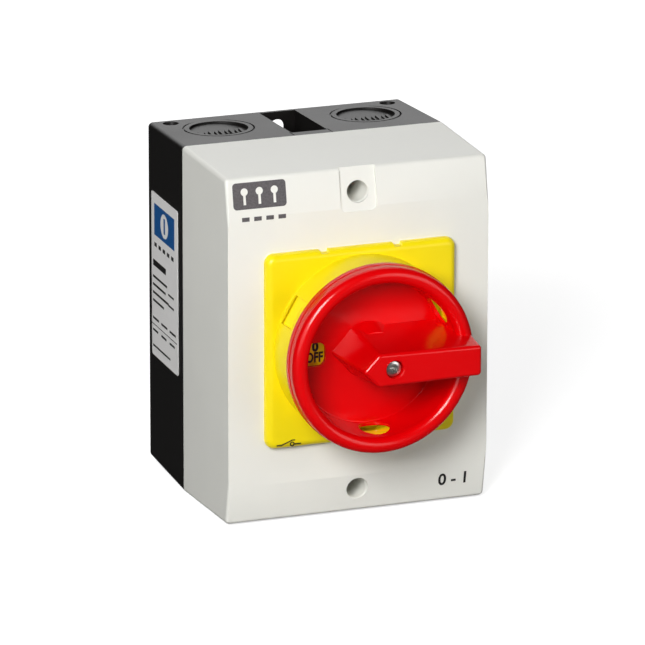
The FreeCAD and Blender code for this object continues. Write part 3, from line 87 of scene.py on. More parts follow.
class Slot(Enum):
    """The material slots of the record."""

    BLACK = "black_plastic"
    WHITE = "white_plastic"
    YELLOW = "yellow_plastic"
    RED = "red_plastic"
    LABEL = "label_film"
    GREY = "grey_plastic"
    DARK = "dark_plastic"
    NYLON = "cam_plastic"
    ZINC = "zinc_steel"
    BRIGHT = "bright_screw"
    SPRING = "spring_steel"
    BRASS = "brass"
    RUBBER = "seal_rubber"


# ------------------------------------------------------------------ modelling
def softened(corners: Sequence[Corner], closed: bool = True, steps: int = 6) -> list[Point]:
    """Rounds the corners of an outline.

    Args:
        corners: each corner as (u, v, radius).
        closed: whether the last corner joins the first.
        steps: straight runs in each rounding.

    Returns:
        The points of the outline, with an arc in place of each rounded corner.
    """
    points: list[Point] = []
    count = len(corners)
    for index, (u, v, radius) in enumerate(corners):
        at_end = not closed and index in (0, count - 1)
        if radius <= 0 or at_end:
            points.append((u, v))
            continue
        here = Vector((u, v))
        back = (Vector(corners[index - 1][:2]) - here).normalized()
        ahead = (Vector(corners[(index + 1) % count][:2]) - here).normalized()
        half = back.angle(ahead) / 2
        centre = here + (back + ahead).normalized() * radius / math.sin(half)
        first = here + back * radius / math.tan(half) - centre
        last = here + ahead * radius / math.tan(half) - centre
        sweep = math.pi - 2 * half
        for step in range(steps + 1):
            share = step / steps
            spoke = (first * math.sin((1 - share) * sweep) + last * math.sin(share * sweep))
            points.append(tuple(centre + spoke / math.sin(sweep)))
    return points


class Work:
    """A closed mesh in millimetres, shaped by bmesh operators."""

    def __init__(self) -> None:
        """Starts with nothing."""
        self.mesh = bmesh.new()

    @classmethod
    def block(cls, across: Span, depth: Span, up: Span) -> Work:
        """A block between two X, two depths and two Z.

        Args:
            across: the low and high X.
            depth: the low and high depth.
            up: the low and high Z.

        Returns:
            The block.
        """
        work = cls()
        low = Vector((across[0], -depth[1], up[0]))
        high = Vector((across[1], -depth[0], up[1]))
        place = Matrix.Translation((low + high) / 2) @ Matrix.Diagonal((*(high - low), 1))
        bmesh.ops.create_cube(work.mesh, size=1, matrix=place)
        return work

    @classmethod
    def prism(cls, outline: Sequence[Point], depth: Span) -> Work:
        """A prism along the depth, from an outline in X and Z.

        Args:
            outline: the corners in X and Z, in order.
            depth: the depths that it runs between.

        Returns:
            The prism, closed at both ends.
        """
        work = cls()
        ring = [work.mesh.verts.new((x, -depth[0], z)) for x, z in outline]
        face = work.mesh.faces.new(ring)
        grown = bmesh.ops.extrude_face_region(work.mesh, geom=[face])["geom"]
        moved = [item for item in grown if isinstance(item, bmesh.types.BMVert)]
        bmesh.ops.translate(work.mesh, verts=moved, vec=(0, depth[0] - depth[1], 0))
        return work.outward()

    @classmethod
    def turned(cls, profile: Sequence[Point], closed: bool, steps: int = 128) -> Work:
        """A body turned about the handle's axis, from a profile of (radius, depth).

        Args:
            profile: the points to turn, as (radius, depth).
            closed: whether the last point joins the first, as on a ring.
            steps: flats round the turn.

        Returns:
            The closed body.
        """
        work = cls()
        line = [work.mesh.verts.new((radius, -depth, 0)) for radius, depth in profile]
        ends = list(zip(line, line[1:]))
        if closed:
            ends.append((line[-1], line[0]))
        edges = [work.mesh.edges.new(pair) for pair in ends]
        bmesh.ops.spin(work.mesh, geom=line + edges, cent=(0, 0, 0), axis=(0, 1, 0),
                       angle=math.tau, steps=steps, use_merge=True)
        bmesh.ops.remove_doubles(work.mesh, verts=work.mesh.verts, dist=FUSED)
        return work.outward()

    @classmethod
    def rod(cls, centre: Point, depth: Span, radius: float, steps: int = 48) -> Work:
        """A round bar along the depth."""
        flat = [(0, depth[0]), (radius, depth[0]), (radius, depth[1]), (0, depth[1])]
        return cls.turned(flat, False, steps).moved((centre[0], 0, centre[1]))

    def outward(self) -> Work:
        """Points every face outwards."""
        bmesh.ops.recalc_face_normals(self.mesh, faces=self.mesh.faces)
        return self

    def moved(self, offset: tuple[float, float, float]) -> Work:
        """Shifts the work."""
        bmesh.ops.translate(self.mesh, verts=self.mesh.verts, vec=offset)
        return self

    def rolled(self, angle: float, axis: str = "Y") -> Work:
        """Turns the work about an axis through the origin, in degrees.

        Args:
            angle: the turn in degrees.
            axis: X, Y or Z.

        Returns:
            The same work.
        """
        turn = Matrix.Rotation(math.radians(angle), 3, axis)
        bmesh.ops.rotate(self.mesh, verts=self.mesh.verts, cent=(0, 0, 0), matrix=turn)
        return self

    def shaped(self, place: Callable[[Vector], Vector]) -> Work:
        """Moves each vertex to where a function of its place says.

        Args:
            place: gives the new place of a vertex from its old one.

        Returns:
            The same work.
        """
        for vertex in self.mesh.verts:
            vertex.co = place(vertex.co)
        return self

    def sliced(self, point: Sequence[float], normal: Sequence[float]) -> Work:
        """Cuts off what lies on the normal's side of a plane, and closes the cut.

        Args:
            point: a point on the plane.
            normal: the direction of the side that goes.

        Returns:
            The same work.
        """
        geometry = list(self.mesh.verts) + list(self.mesh.edges) + list(self.mesh.faces)
        found = bmesh.ops.bisect_plane(self.mesh, geom=geometry, plane_co=point,
                                       plane_no=normal, clear_outer=True)["geom_cut"]
        edges = [item for item in found if isinstance(item, bmesh.types.BMEdge)]
        bmesh.ops.edgeloop_fill(self.mesh, edges=edges)
        return self.outward()

    def rounded(self, test: EdgeTest, radius: float, steps: int = 3) -> Work:
        """Bevels the edges that pass a test.

        Args:
            test: says which edges are rounded.
            radius: how far back the rounding starts.
            steps: flats across it.

        Returns:
            The same work.
        """
        chosen = [edge for edge in self.mesh.edges if test(edge)]
        bmesh.ops.bevel(self.mesh, geom=chosen, offset=radius, offset_type="OFFSET",
                        affect="EDGES", segments=steps, profile=0.5, clamp_overlap=True,
                        material=-1)
        return self

    def combined(self, tools: Sequence[Work], operation: str) -> Work:
        """Adds or takes away other works with the exact solver.

        Args:
            tools: the other works, which stay as they are.
            operation: UNION, DIFFERENCE or INTERSECT.

        Returns:
            The same work, changed.
        """
        items = [work.temporary() for work in (self, *tools)]
        for tool in items[1:]:
            change = items[0].modifiers.new("change", "BOOLEAN")
            change.object = tool
            change.operation = operation
            change.solver = "EXACT"
        graph = bpy.context.evaluated_depsgraph_get()
        result = bpy.data.meshes.new_from_object(items[0].evaluated_get(graph))
        self.mesh.clear()
        self.mesh.from_mesh(result)
        bpy.data.meshes.remove(result)
        for item in items:
            shape = item.data
            bpy.data.objects.remove(item)
            bpy.data.meshes.remove(shape)
        bmesh.ops.remove_doubles(self.mesh, verts=self.mesh.verts, dist=FUSED)
        bmesh.ops.dissolve_degenerate(self.mesh, edges=self.mesh.edges, dist=FUSED)
        return self

    def cut(self, *tools: Work) -> Work:
        """Takes other works away."""
        return self.combined(tools, "DIFFERENCE")

    def joined(self, *others: Work) -> Work:
        """Joins other works on as one solid."""
        return self.combined(others, "UNION")

    def beside(self, *others: Work) -> Work:
        """Keeps other works in the same piece, as separate solids.

        Args:
            others: the works to add, which stay as they are.

        Returns:
            The same work.
        """
        for other in others:
            loose = bpy.data.meshes.new("loose")
            other.mesh.to_mesh(loose)
            self.mesh.from_mesh(loose)
            bpy.data.meshes.remove(loose)
        return self

    def temporary(self) -> bpy.types.Object:
        """An object in the scene that holds the work's mesh for a while.

        Returns:
            The object, which the caller removes.
        """
        shape = bpy.data.meshes.new("temporary")
        self.mesh.to_mesh(shape)
        item = bpy.data.objects.new("temporary", shape)
        bpy.context.scene.collection.objects.link(item)
        return item

    def place(self, name: str, body: Body, slot: Slot, finish: Finish,
              replaces: Sequence[str] = (), crisp: float = 32.0) -> bpy.types.Object:
        """Turns the work into a finished piece of the object.

        Args:
            name: the piece's name.
            body: what it rides on.
            slot: the record's slot; not used.
            finish: its material.
            replaces: the CAD nodes that it stands for.
            crisp: the angle in degrees past which an edge stays sharp.

        Returns:
            The object.
        """
        bmesh.ops.scale(self.mesh, vec=(MM, MM, MM), verts=self.mesh.verts)
        shape = bpy.data.meshes.new(name)
        self.mesh.to_mesh(shape)
        self.mesh.free()
        shape.shade_smooth()
        shape.set_sharp_from_angle(angle=math.radians(crisp))
        shape.materials.append(finish.material())
        item = bpy.data.objects.new(name, shape)
        bpy.context.scene.collection.objects.link(item)
        even = item.modifiers.new("even_shading", "WEIGHTED_NORMAL")
        even.keep_sharp = True
        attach(item, body.value)
        if replaces:
            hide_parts(*replaces)
        LOG.info("%s: %d faces on %s", name, len(shape.polygons), body.value)
        return item


def runs_along_depth(edge: bmesh.types.BMEdge) -> bool:
    """True for an edge that runs front to back, drafted or not."""
    run = edge.verts[1].co - edge.verts[0].co
    return abs(run.y) > 0.9 * run.length > 0.01


def folds(edge: bmesh.types.BMEdge, least: float = 20.0) -> bool:
    """True where two faces meet at more than an angle in degrees."""
    return len(edge.link_faces) == 2 and edge.calc_face_angle(0) > math.radians(least)


def at_depth(edge: bmesh.types.BMEdge, depth: float, slack: float = TOUCH) -> bool:
    """True for an edge that lies at a depth."""
    return all(abs(vertex.co.y + depth) < slack for vertex in edge.verts)


def lettering(words: str, height: float, thick: float, weight: float = 0.0) -> Work:
    """Thin raised figures in the X-Z plane, centred on the origin.

    Args:
        words: what to draw.
        height: the height of a capital.
        thick: how far the figures stand out of the plane.
        weight: how much bolder than the plain face, in millimetres.

    Returns:
        The figures as a mesh, each with its front, back and sides.
    """
    curve = bpy.data.curves.new("figures", "FONT")
    curve.body = words
    curve.size = height / CAPITAL
    curve.offset = weight
    curve.extrude = thick / 2
    curve.align_x = "CENTER"
    curve.align_y = "CENTER"
    curve.resolution_u = 4
    item = bpy.data.objects.new("figures", curve)
    bpy.context.scene.collection.objects.link(item)
    graph = bpy.context.evaluated_depsgraph_get()
    shape = bpy.data.meshes.new_from_object(item.evaluated_get(graph))
    work = Work()
    work.mesh.from_mesh(shape)
    bpy.data.objects.remove(item)
    bpy.data.curves.remove(curve)
    bpy.data.meshes.remove(shape)
    bmesh.ops.remove_doubles(work.mesh, verts=work.mesh.verts, dist=FUSED)
    return work.rolled(90, "X")


# ------------------------------------------------------------------ materials
def linear(colour: tuple[int, int, int]) -> tuple[float, float, float, float]:
    """A screen colour of three bytes as linear light.

    Args:
        colour: red, green and blue from 0 to 255.

    Returns:
        Red, green, blue and an alpha of 1, from 0 to 1.
    """
    def channel(byte: int) -> float:
        """One byte as linear light."""
        share = byte / 255
        return share / 12.92 if share <= 0.04045 else ((share + 0.055) / 1.055) ** 2.4

    return (*(channel(byte) for byte in colour), 1.0)


def grey(light: float) -> tuple[float, float, float, float]:
    """An even grey in linear light."""
    return (light, light, light, 1.0)


class Signal:
    """A number or vector socket that adds a Math node when it meets an operator."""

    def __init__(self, graph: Graph, socket: bpy.types.NodeSocket) -> None:
        """Wraps one output socket of a graph."""
        self.graph = graph
        self.socket = socket

    def math(self, operation: str, *values: float | Signal) -> Signal:
        """The result of one Math node."""
        return self.graph.add("ShaderNodeMath", {"operation": operation}, *values)

    def __add__(self, other: float | Signal) -> Signal:
        """Sum."""
        return self.math("ADD", self, other)

    __radd__ = __add__

    def __mul__(self, other: float | Signal) -> Signal:
        """Product."""
        return self.math("MULTIPLY", self, other)

    __rmul__ = __mul__

    def __sub__(self, other: float | Signal) -> Signal:
        """Difference."""
        return self.math("SUBTRACT", self, other)

    def __rsub__(self, other: float | Signal) -> Signal:
        """Difference from a number."""
        return self.math("SUBTRACT", other, self)

    def above(self, low: float, high: float) -> Signal:
        """A smooth step from 0 at low to 1 at high."""
        settings = {"interpolation_type": "SMOOTHSTEP"}
        return self.graph.add("ShaderNodeMapRange", settings, self, low, high)


class Graph:
    """The node tree of one material."""

    def __init__(self, name: str) -> None:
        """Makes an empty material.

        Args:
            name: the material's name.
        """
        self.material = bpy.data.materials.new(name)
        self.material.use_nodes = True
        self.tree = self.material.node_tree
        self.tree.nodes.clear()

    def node(self, kind: str, settings: dict[str, object], *values: object,
             **named: object) -> bpy.types.Node:
        """Adds a node, sets it up, and fills its sockets with values or links.

        Args:
            kind: the node's type.
            settings: what is set on it before its sockets are filled.
            values: a value or signal for each live socket, in order.
            named: the same by socket name, with _ for a space.

        Returns:
            The node.
        """
        item = self.tree.nodes.new(kind)
        for name, value in settings.items():
            setattr(item, name, value)
        enabled = [socket for socket in item.inputs if socket.enabled]
        pairs = list(zip(enabled, values))
        pairs += [(item.inputs[name.replace("_", " ")], value) for name, value in named.items()]
        for socket, value in pairs:
            if isinstance(value, Signal):
                self.tree.links.new(value.socket, socket)
            else:
                socket.default_value = value
        return item

    def add(self, kind: str, settings: dict[str, object], *values: object,
            **named: object) -> Signal:
        """Adds a node and returns its first live output."""
        item = self.node(kind, settings, *values, **named)
        return Signal(self, next(socket for socket in item.outputs if socket.enabled))

    def places(self) -> Signal:
        """The object coordinates of the surface."""
        item = self.node("ShaderNodeTexCoord", {})
        return Signal(self, item.outputs["Object"])

    def noise(self, grain: float, stretch: tuple[float, float, float] = (1, 1, 1),
              detail: float = 3.0) -> Signal:
        """Cloudy noise whose lumps are about a grain wide, in millimetres."""
        at = self.add("ShaderNodeMapping", {}, self.places(), Scale=stretch)
        return self.add("ShaderNodeTexNoise", {}, Vector=at, Scale=1 / (grain * MM), Detail=detail)

    def blend(self, share: float | Signal, first: object, second: object) -> Signal:
        """Mixes two colours.

        Args:
            share: how much of the second colour shows, from 0 to 1.
            first: a colour or its signal.
            second: a colour or its signal.

        Returns:
            The mixed colour.
        """
        item = self.node("ShaderNodeMix", {"data_type": "RGBA"})
        for name, value in (("Factor_Float", share), ("A_Color", first), ("B_Color", second)):
            socket = next(s for s in item.inputs if s.identifier == name)
            if isinstance(value, Signal):
                self.tree.links.new(value.socket, socket)
            else:
                socket.default_value = value
        return Signal(self, next(s for s in item.outputs if s.identifier == "Result_Color"))

    def bump(self, height: Signal, millimetres: float, strength: float = 1.0) -> Signal:
        """The surface normal over a relief of a given height."""
        return self.add("ShaderNodeBump", {}, Strength=strength, Distance=millimetres * MM,
                        Height=height)

    def surface(self, **named: object) -> bpy.types.Material:
        """Ends the graph in a Principled shader and returns the material.

        Args:
            named: the shader's values and signals by socket name.

        Returns:
            The finished material.
        """
        shader = self.add("ShaderNodeBsdfPrincipled", {}, **named)
        self.node("ShaderNodeOutputMaterial", {}, Surface=shader)
        return self.material


@dataclass(frozen=True)
class Finish:
    """What every finish has: a name, a screen colour and a roughness."""

    name: str
    colour: tuple[int, int, int]
    roughness: float

    def material(self) -> bpy.types.Material:
        """The finish's material, made once."""
        name = f"look_{self.name}"
        return bpy.data.materials.get(name) or self.build(Graph(name))

    def build(self, graph: Graph) -> bpy.types.Material:
        """Makes the node tree."""
        raise NotImplementedError

    def shaded(self, share: float) -> tuple[float, float, float, float]:
        """The colour, lighter or darker by a share."""
        red, green, blue, alpha = linear(self.colour)
        return (red * share, green * share, blue * share, alpha)


@dataclass(frozen=True)
class Moulded(Finish):
    """Moulded plastic: an even colour with faint flow marks over a fine grain."""

    grain: float = 0.35
    relief: float = 0.006
    flow: float = 0.03
    flow_size: float = 28.0
    gloss: float = 0.5

    def build(self, graph: Graph) -> bpy.types.Material:
        """Makes the node tree.

        Args:
            graph: the empty graph of the material.

        Returns:
            The finished material.
        """
        clouds = graph.noise(self.flow_size, detail=4.0)
        grain = graph.noise(self.grain, detail=2.0)
        pores = graph.noise(self.grain * 5, detail=1.0)
        tone = graph.blend(clouds.above(0.3, 0.7), self.shaded(1 - self.flow),
                           self.shaded(1 + self.flow))
        rough = self.roughness + (clouds - 0.5) * 0.10 + (grain - 0.5) * 0.06
        height = grain * 0.7 + pores * 0.3
        return graph.surface(Base_Color=tone, Roughness=rough, Specular_IOR_Level=self.gloss,
                             Normal=graph.bump(height, self.relief))


@dataclass(frozen=True)
class Metal(Finish):
    """Plated or rolled metal with fine drawn scratches and dull patches."""

    streak: tuple[float, float, float] = (1, 12, 1)
    relief: float = 0.004

    def build(self, graph: Graph) -> bpy.types.Material:
        """Makes the node tree.

        Args:
            graph: the empty graph of the material.

        Returns:
            The finished material.
        """
        patches = graph.noise(3.0)
        scratches = graph.noise(0.25, self.streak, 2.0)
        tone = graph.blend(patches, self.shaded(0.86), self.shaded(1.0))
        rough = self.roughness + (patches - 0.5) * 0.16 + (scratches - 0.5) * 0.12
        return graph.surface(Base_Color=tone, Roughness=rough, Metallic=1.0,
                             Normal=graph.bump(scratches, self.relief))


@dataclass(frozen=True)
class Film(Finish):
    """Printed self-adhesive film with a faint brushed grain."""

    def build(self, graph: Graph) -> bpy.types.Material:
        """Makes the node tree.

        Args:
            graph: the empty graph of the material.

        Returns:
            The finished material.
        """
        streaks = graph.noise(0.4, (1, 1, 9), 2.0)
        clouds = graph.noise(14.0)
        tone = graph.blend(clouds * 0.6 + streaks * 0.4, self.shaded(0.94), self.shaded(1.04))
        rough = self.roughness + (streaks - 0.5) * 0.12
        return graph.surface(Base_Color=tone, Roughness=rough,
                             Normal=graph.bump(streaks, 0.003))


@dataclass(frozen=True)
class Ink(Finish):
    """Pad-printed ink that covers a little unevenly."""

    def build(self, graph: Graph) -> bpy.types.Material:
        """Makes the node tree.

        Args:
            graph: the empty graph of the material.

        Returns:
            The finished material.
        """
        cover = graph.noise(0.6, detail=2.0)
        tone = graph.blend(cover.above(0.25, 0.75), self.shaded(1.25), self.shaded(0.9))
        return graph.surface(Base_Color=tone, Roughness=self.roughness + (cover - 0.5) * 0.1)


class Finishes:
    """The finishes of the object, by slot, and the inks."""

    WHITE = Moulded("off_white_plastic", (236, 236, 229), 0.42, grain=0.5, relief=0.004, flow=0.012,
                    gloss=0.4)
    BLACK = Moulded("black_plastic", (20, 18, 17), 0.42, grain=0.45, relief=0.015, flow=0.06,
                    gloss=0.3)
    YELLOW = Moulded("yellow_plastic", (248, 226, 8), 0.33, grain=0.5, relief=0.003, flow=0.02,
                     gloss=0.4)
    RED = Moulded("red_plastic", (222, 0, 5), 0.2, grain=0.4, relief=0.002, flow=0.03,
                  gloss=0.4)
    FILM = Film("label_film", (246, 245, 243), 0.38)
    GREY_INK = Ink("grey_ink", (88, 84, 86), 0.5)
    BLACK_INK = Ink("black_ink", (28, 26, 25), 0.45)
    BLUE_INK = Ink("blue_ink", (10, 84, 150), 0.4)
    BY_SLOT = {
        Slot.BLACK: BLACK,
        Slot.WHITE: WHITE,
        Slot.YELLOW: YELLOW,
        Slot.RED: RED,
        Slot.LABEL: FILM,
        Slot.GREY: Moulded("grey_plastic", (150, 152, 154), 0.45, flow=0.04),
        Slot.DARK: Moulded("charcoal_plastic", (58, 58, 62), 0.42, flow=0.05),
        Slot.NYLON: Moulded("natural_nylon", (222, 218, 204), 0.38, flow=0.03),
        Slot.ZINC: Metal("zinc_plate", (196, 197, 194), 0.34),
        Slot.BRIGHT: Metal("bright_plate", (226, 224, 220), 0.3, relief=0.002),
        Slot.SPRING: Metal("spring_steel", (150, 150, 152), 0.3),
        Slot.BRASS: Metal("brass", (214, 178, 96), 0.3),
        Slot.RUBBER: Moulded("soft_rubber", (34, 34, 34), 0.72, relief=0.01, gloss=0.3),
    }


# ------------------------------------------------------------------ the frame's places
@dataclass(frozen=True)
class Extent:
    """A CAD node's box in millimetres, as X, depth and Z spans."""

    across: Span
    depth: Span
    up: Span

    @classmethod
    def of(cls, node: str) -> Extent:
        """Reads a node's box from the frame."""
        low, high = (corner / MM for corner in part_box(node))
        return cls((low.x, high.x), (-high.y, -low.y), (low.z, high.z))


@dataclass
class Casing:
    """Sizes that the base and the cover share."""

    half_width: float = field(init=False)
    half_height: float = field(init=False)
    joint: float = field(init=False)
    front: float = field(init=False)
    screw_z: float = field(init=False)
    corner: float = 1.5
    pocket_half: float = 6.3
    pocket_reach: float = 15.0

    def __post_init__(self) -> None:
        """Reads the overall sizes from the frame."""
        cover = Extent.of("front_cover")
        screws = Extent.of("cover_screws")
        self.half_width = cover.across[1]
        self.half_height = cover.up[1]
        self.joint, self.front = cover.depth
        self.screw_z = (screws.up[1] - screws.up[0]) / 2 - (screws.across[1] - screws.across[0]) / 2

    def drafted(self, depth: Span, inset: Point) -> Work:
        """The casing's outer block, drawn in by an inset at its second depth.

        Args:
            depth: the depth that keeps its full size, then the one that is drawn in.
            inset: how far its sides in X and Z come in there.

        Returns:
            The block.
        """
        work = Work.block((-self.half_width, self.half_width), sorted(depth),
                          (-self.half_height, self.half_height))
        shrink = Vector((1 - inset[0] / self.half_width, 1, 1 - inset[1] / self.half_height))
        far = [v for v in work.mesh.verts if abs(-v.co.y - depth[1]) < TOUCH]
        bmesh.ops.scale(work.mesh, vec=shrink, verts=far)
        return work


# ------------------------------------------------------------------ cover
@dataclass(frozen=True)
class Pictogram:
    """Sizes of the grey sign: a plate with three switch contacts over four dashes."""

    left: float = 2.9
    top: float = 2.6
    width: float = 18.4
    height: float = 8.6
    corner: float = 1.2
    contacts: int = 3
    first: float = 4.0
    pitch: float = 5.2
    eye_drop: float = 3.0
    eye_radius: float = 1.25
    stem_half: float = 0.45
    stem_drop: Span = (3.6, 7.2)
    dashes: int = 4
    dash_first: float = 2.7
    dash_pitch: float = 4.2
    dash_length: float = 2.6
    dash_drop: Span = (11.2, 12.6)


@dataclass
class Cover:
    """The off-white cover with its leaning bands, screw wells and prints."""

    casing: Casing
    inset: Point = (0.7, 1.0)
    band_height: float = 14.1
    band_drop: float = 2.67
    edge: float = 1.15
    fold_near: float = 0.2
    wall: float = 2.2
    front_wall: float = 2.5
    shelf: float = 4.4
    shelf_depth: Span = (40.85, 42.85)
    well_radius: float = 3.5
    well_floor: float = 43.0
    screw_way: float = 2.15
    well_flare: float = 0.28
    shaft_way: float = 6.9
    pad_sink: float = 0.3
    pad_slope: float = 1.2
    pad_corner: float = 1.9
    pad_lap: float = 0.3
    pad_flat: float = 5.0
    well_lip: float = 0.72
    pillar_end: float = 3.8
    pillar_lap: float = 0.3
    shelf_lap: float = 0.5
    way_deep: float = 5.0
    ink: float = 0.05
    figure_high: float = 4.1
    figure_bold: float = 0.12
    figures_in: Point = (12.0, 8.4)

    def build(self) -> None:
        """Makes the shell and its prints."""
        self.shell().place("cover_shell", Body.COVER, Slot.WHITE, Finishes.WHITE, ["front_cover"])
        self.pictogram(Pictogram())
        self.figures()

    def band_plane(self, sign: int, inward: float = 0.0) -> tuple[Vector, Vector]:
        """A point and the normal of the leaning plane at one end.

        Args:
            sign: 1 for the top end, -1 for the bottom end.
            inward: how far behind the outer plane.

        Returns:
            The point and the unit normal.
        """
        start = self.casing.half_height - self.band_height
        point = Vector((0, -(self.casing.front - inward), sign * start))
        normal = Vector((0, -self.band_height, sign * self.band_drop))
        return point, normal.normalized()

    def face_depth(self, z: float) -> float:
        """Depth of the front surface at a height."""
        lean = max(0.0, abs(z) - (self.casing.half_height - self.band_height))
        return self.casing.front - lean * self.band_drop / self.band_height

    def shell(self) -> Work:
        """The hollow cover.

        Returns:
            The shell with its shelf, pillars, wells, pads and shaft way.
        """
        case = self.casing
        outer = case.drafted((case.joint, case.front), self.inset)
        for sign in SIDES:
            outer.sliced(*self.band_plane(sign))
        outer.rounded(runs_along_depth, case.corner, 5)
        outer.rounded(self.on_rim, self.edge, 4)
        outer.cut(*self.hollows())
        outer.joined(*[self.pillar(sign) for sign in SIDES])
        outer.cut(*[tool for sign in SIDES for tool in (self.well(sign), self.pad(sign))])
        way = (case.front - self.way_deep, case.front + PAST)
        return outer.cut(Work.rod((0, 0), way, self.shaft_way))

    def on_rim(self, edge: bmesh.types.BMEdge) -> bool:
        """True for the sharp edges round the front, but not for the folds across it.

        Args:
            edge: the edge to judge.

        Returns:
            Whether the front's soft edge takes it.
        """
        fold = self.casing.half_height - self.band_height
        back = self.casing.front - self.band_drop - PAST
        near = all(-v.co.y > back for v in edge.verts)
        across = all(abs(abs(v.co.z) - fold) < self.fold_near for v in edge.verts)
        return near and not across and folds(edge, 30)

    def hollows(self) -> list[Work]:
        """What is cut out behind the front: the mouth, the throat past the shelf, the room.

        Returns:
            The three tools, from the back to the front.
        """
        case = self.casing
        seat, shelf_top = self.shelf_depth
        mouth_x, mouth_z = case.half_width - self.wall, case.half_height - self.wall
        mouth = Work.block((-mouth_x, mouth_x), (case.joint - PAST, seat), (-mouth_z, mouth_z))
        throat_x, throat_z = case.half_width - self.shelf, case.half_height - self.shelf
        throat = Work.block((-throat_x, throat_x),
                            (case.joint - self.shelf_lap, shelf_top + self.shelf_lap),
                            (-throat_z, throat_z))
        room_x = case.half_width - self.inset[0] - self.wall
        room_z = case.half_height - self.inset[1] - self.wall
        room = Work.block((-room_x, room_x), (shelf_top, case.front - self.front_wall),
                          (-room_z, room_z))
        for sign in SIDES:
            room.sliced(*self.band_plane(sign, self.front_wall))
        return [mouth, throat, room]

    def pillar(self, sign: int) -> Work:
        """The solid round one screw's well.

        Args:
            sign: 1 for the top end, -1 for the bottom end.

        Returns:
            A block from the joint to the front wall.
        """
        case = self.casing
        span = sorted((sign * (case.half_height - case.pocket_reach),
                       sign * (case.half_height - self.pillar_end)))
        return Work.block((-case.pocket_half, case.pocket_half),
                          (case.joint, case.front - self.front_wall - self.pillar_lap), span)

    def well(self, sign: int) -> Work:
        """The screw's well, with a small flare at its mouth.

        Args:
            sign: 1 for the top end, -1 for the bottom end.

        Returns:
            The tool that cuts it.
        """
        z = sign * self.casing.screw_z
        mouth = self.face_depth(z) - (self.pad_sink + self.well_lip)
        back, front = self.casing.joint - PAST, mouth + 3 * PAST
        profile = [(0, back), (self.screw_way, back), (self.screw_way, self.well_floor),
                   (self.well_radius, self.well_floor),
                   (self.well_radius, mouth - self.well_flare),
                   (self.well_radius + self.well_flare, mouth + 0.1),
                   (self.well_radius + self.well_flare, front), (0, front)]
        return Work.turned(profile, False, 64).moved((0, 0, z))

    def pad(self, sign: int) -> Work:
        """The shallow recess round a well, open at the casing's edge.

        Args:
            sign: 1 for the top end, -1 for the bottom end.

        Returns:
            The tool that cuts it.
        """
        case = self.casing
        inner = case.half_height - case.pocket_reach - self.pad_lap
        outer = case.half_height + PAST
        half = case.pocket_half
        outline = softened([(half, outer, 0), (half, inner, self.pad_corner),
                            (-half, inner, self.pad_corner), (-half, outer, 0)])
        block = Work.prism(outline, (0, 2 * self.pad_flat))
        low = case.front - self.pad_sink
        slope = (self.band_drop + self.pad_slope - self.pad_sink) / (outer - inner)

        def leaning(point: Vector) -> Vector:
            """Drops the floor towards the casing's edge.

            Args:
                point: a vertex of the straight block.

            Returns:
                Its place on the sloped floor, or well in front of it.
            """
            in_front = -point.y > self.pad_flat
            depth = case.front + 2 * PAST if in_front else low - (point.z - inner) * slope
            return Vector((point.x, -depth, sign * point.z))

        return block.shaped(leaning).outward()

    def on_face(self, work: Work) -> Work:
        """Lays flat marks, drawn round y = 0, on the front surface."""
        return work.shaped(lambda p: Vector((p.x, p.y - self.face_depth(p.z), p.z)))

    def pictogram(self, sizes: Pictogram) -> None:
        """Prints the grey sign and the dashes under it, at the top left.

        Args:
            sizes: the sign's sizes.
        """
        left = sizes.left - self.casing.half_width
        top = self.casing.half_height - sizes.top
        right, low, soft = left + sizes.width, top - sizes.height, sizes.corner
        thick = (-self.ink, self.ink)
        sign = Work.prism(softened([(left, top, soft), (right, top, soft), (right, low, soft),
                                    (left, low, soft)]), thick)
        slots = []
        for index in range(sizes.contacts):
            x = left + sizes.first + sizes.pitch * index
            slots.append(Work.rod((x, top - sizes.eye_drop), (-PAST, PAST), sizes.eye_radius, 24))
            slots.append(Work.block((x - sizes.stem_half, x + sizes.stem_half), (-PAST, PAST),
                                    (top - sizes.stem_drop[1], top - sizes.stem_drop[0])))
        sign.cut(*slots)
        for index in range(sizes.dashes):
            x = left + sizes.dash_first + sizes.dash_pitch * index
            sign.beside(Work.block((x, x + sizes.dash_length), thick,
                                   (top - sizes.dash_drop[1], top - sizes.dash_drop[0])))
        self.on_face(sign).place("cover_pictogram", Body.COVER, Slot.WHITE, Finishes.GREY_INK)

    def figures(self) -> None:
        """Prints the dark figures of the two positions, at the bottom right."""
        case = self.casing
        figures = lettering("0 - 1", self.figure_high, 2 * self.ink, self.figure_bold)
        across, up = self.figures_in
        figures.moved((case.half_width - across, 0, up - case.half_height))
        self.on_face(figures).place("cover_figures", Body.COVER, Slot.WHITE, Finishes.BLACK_INK)


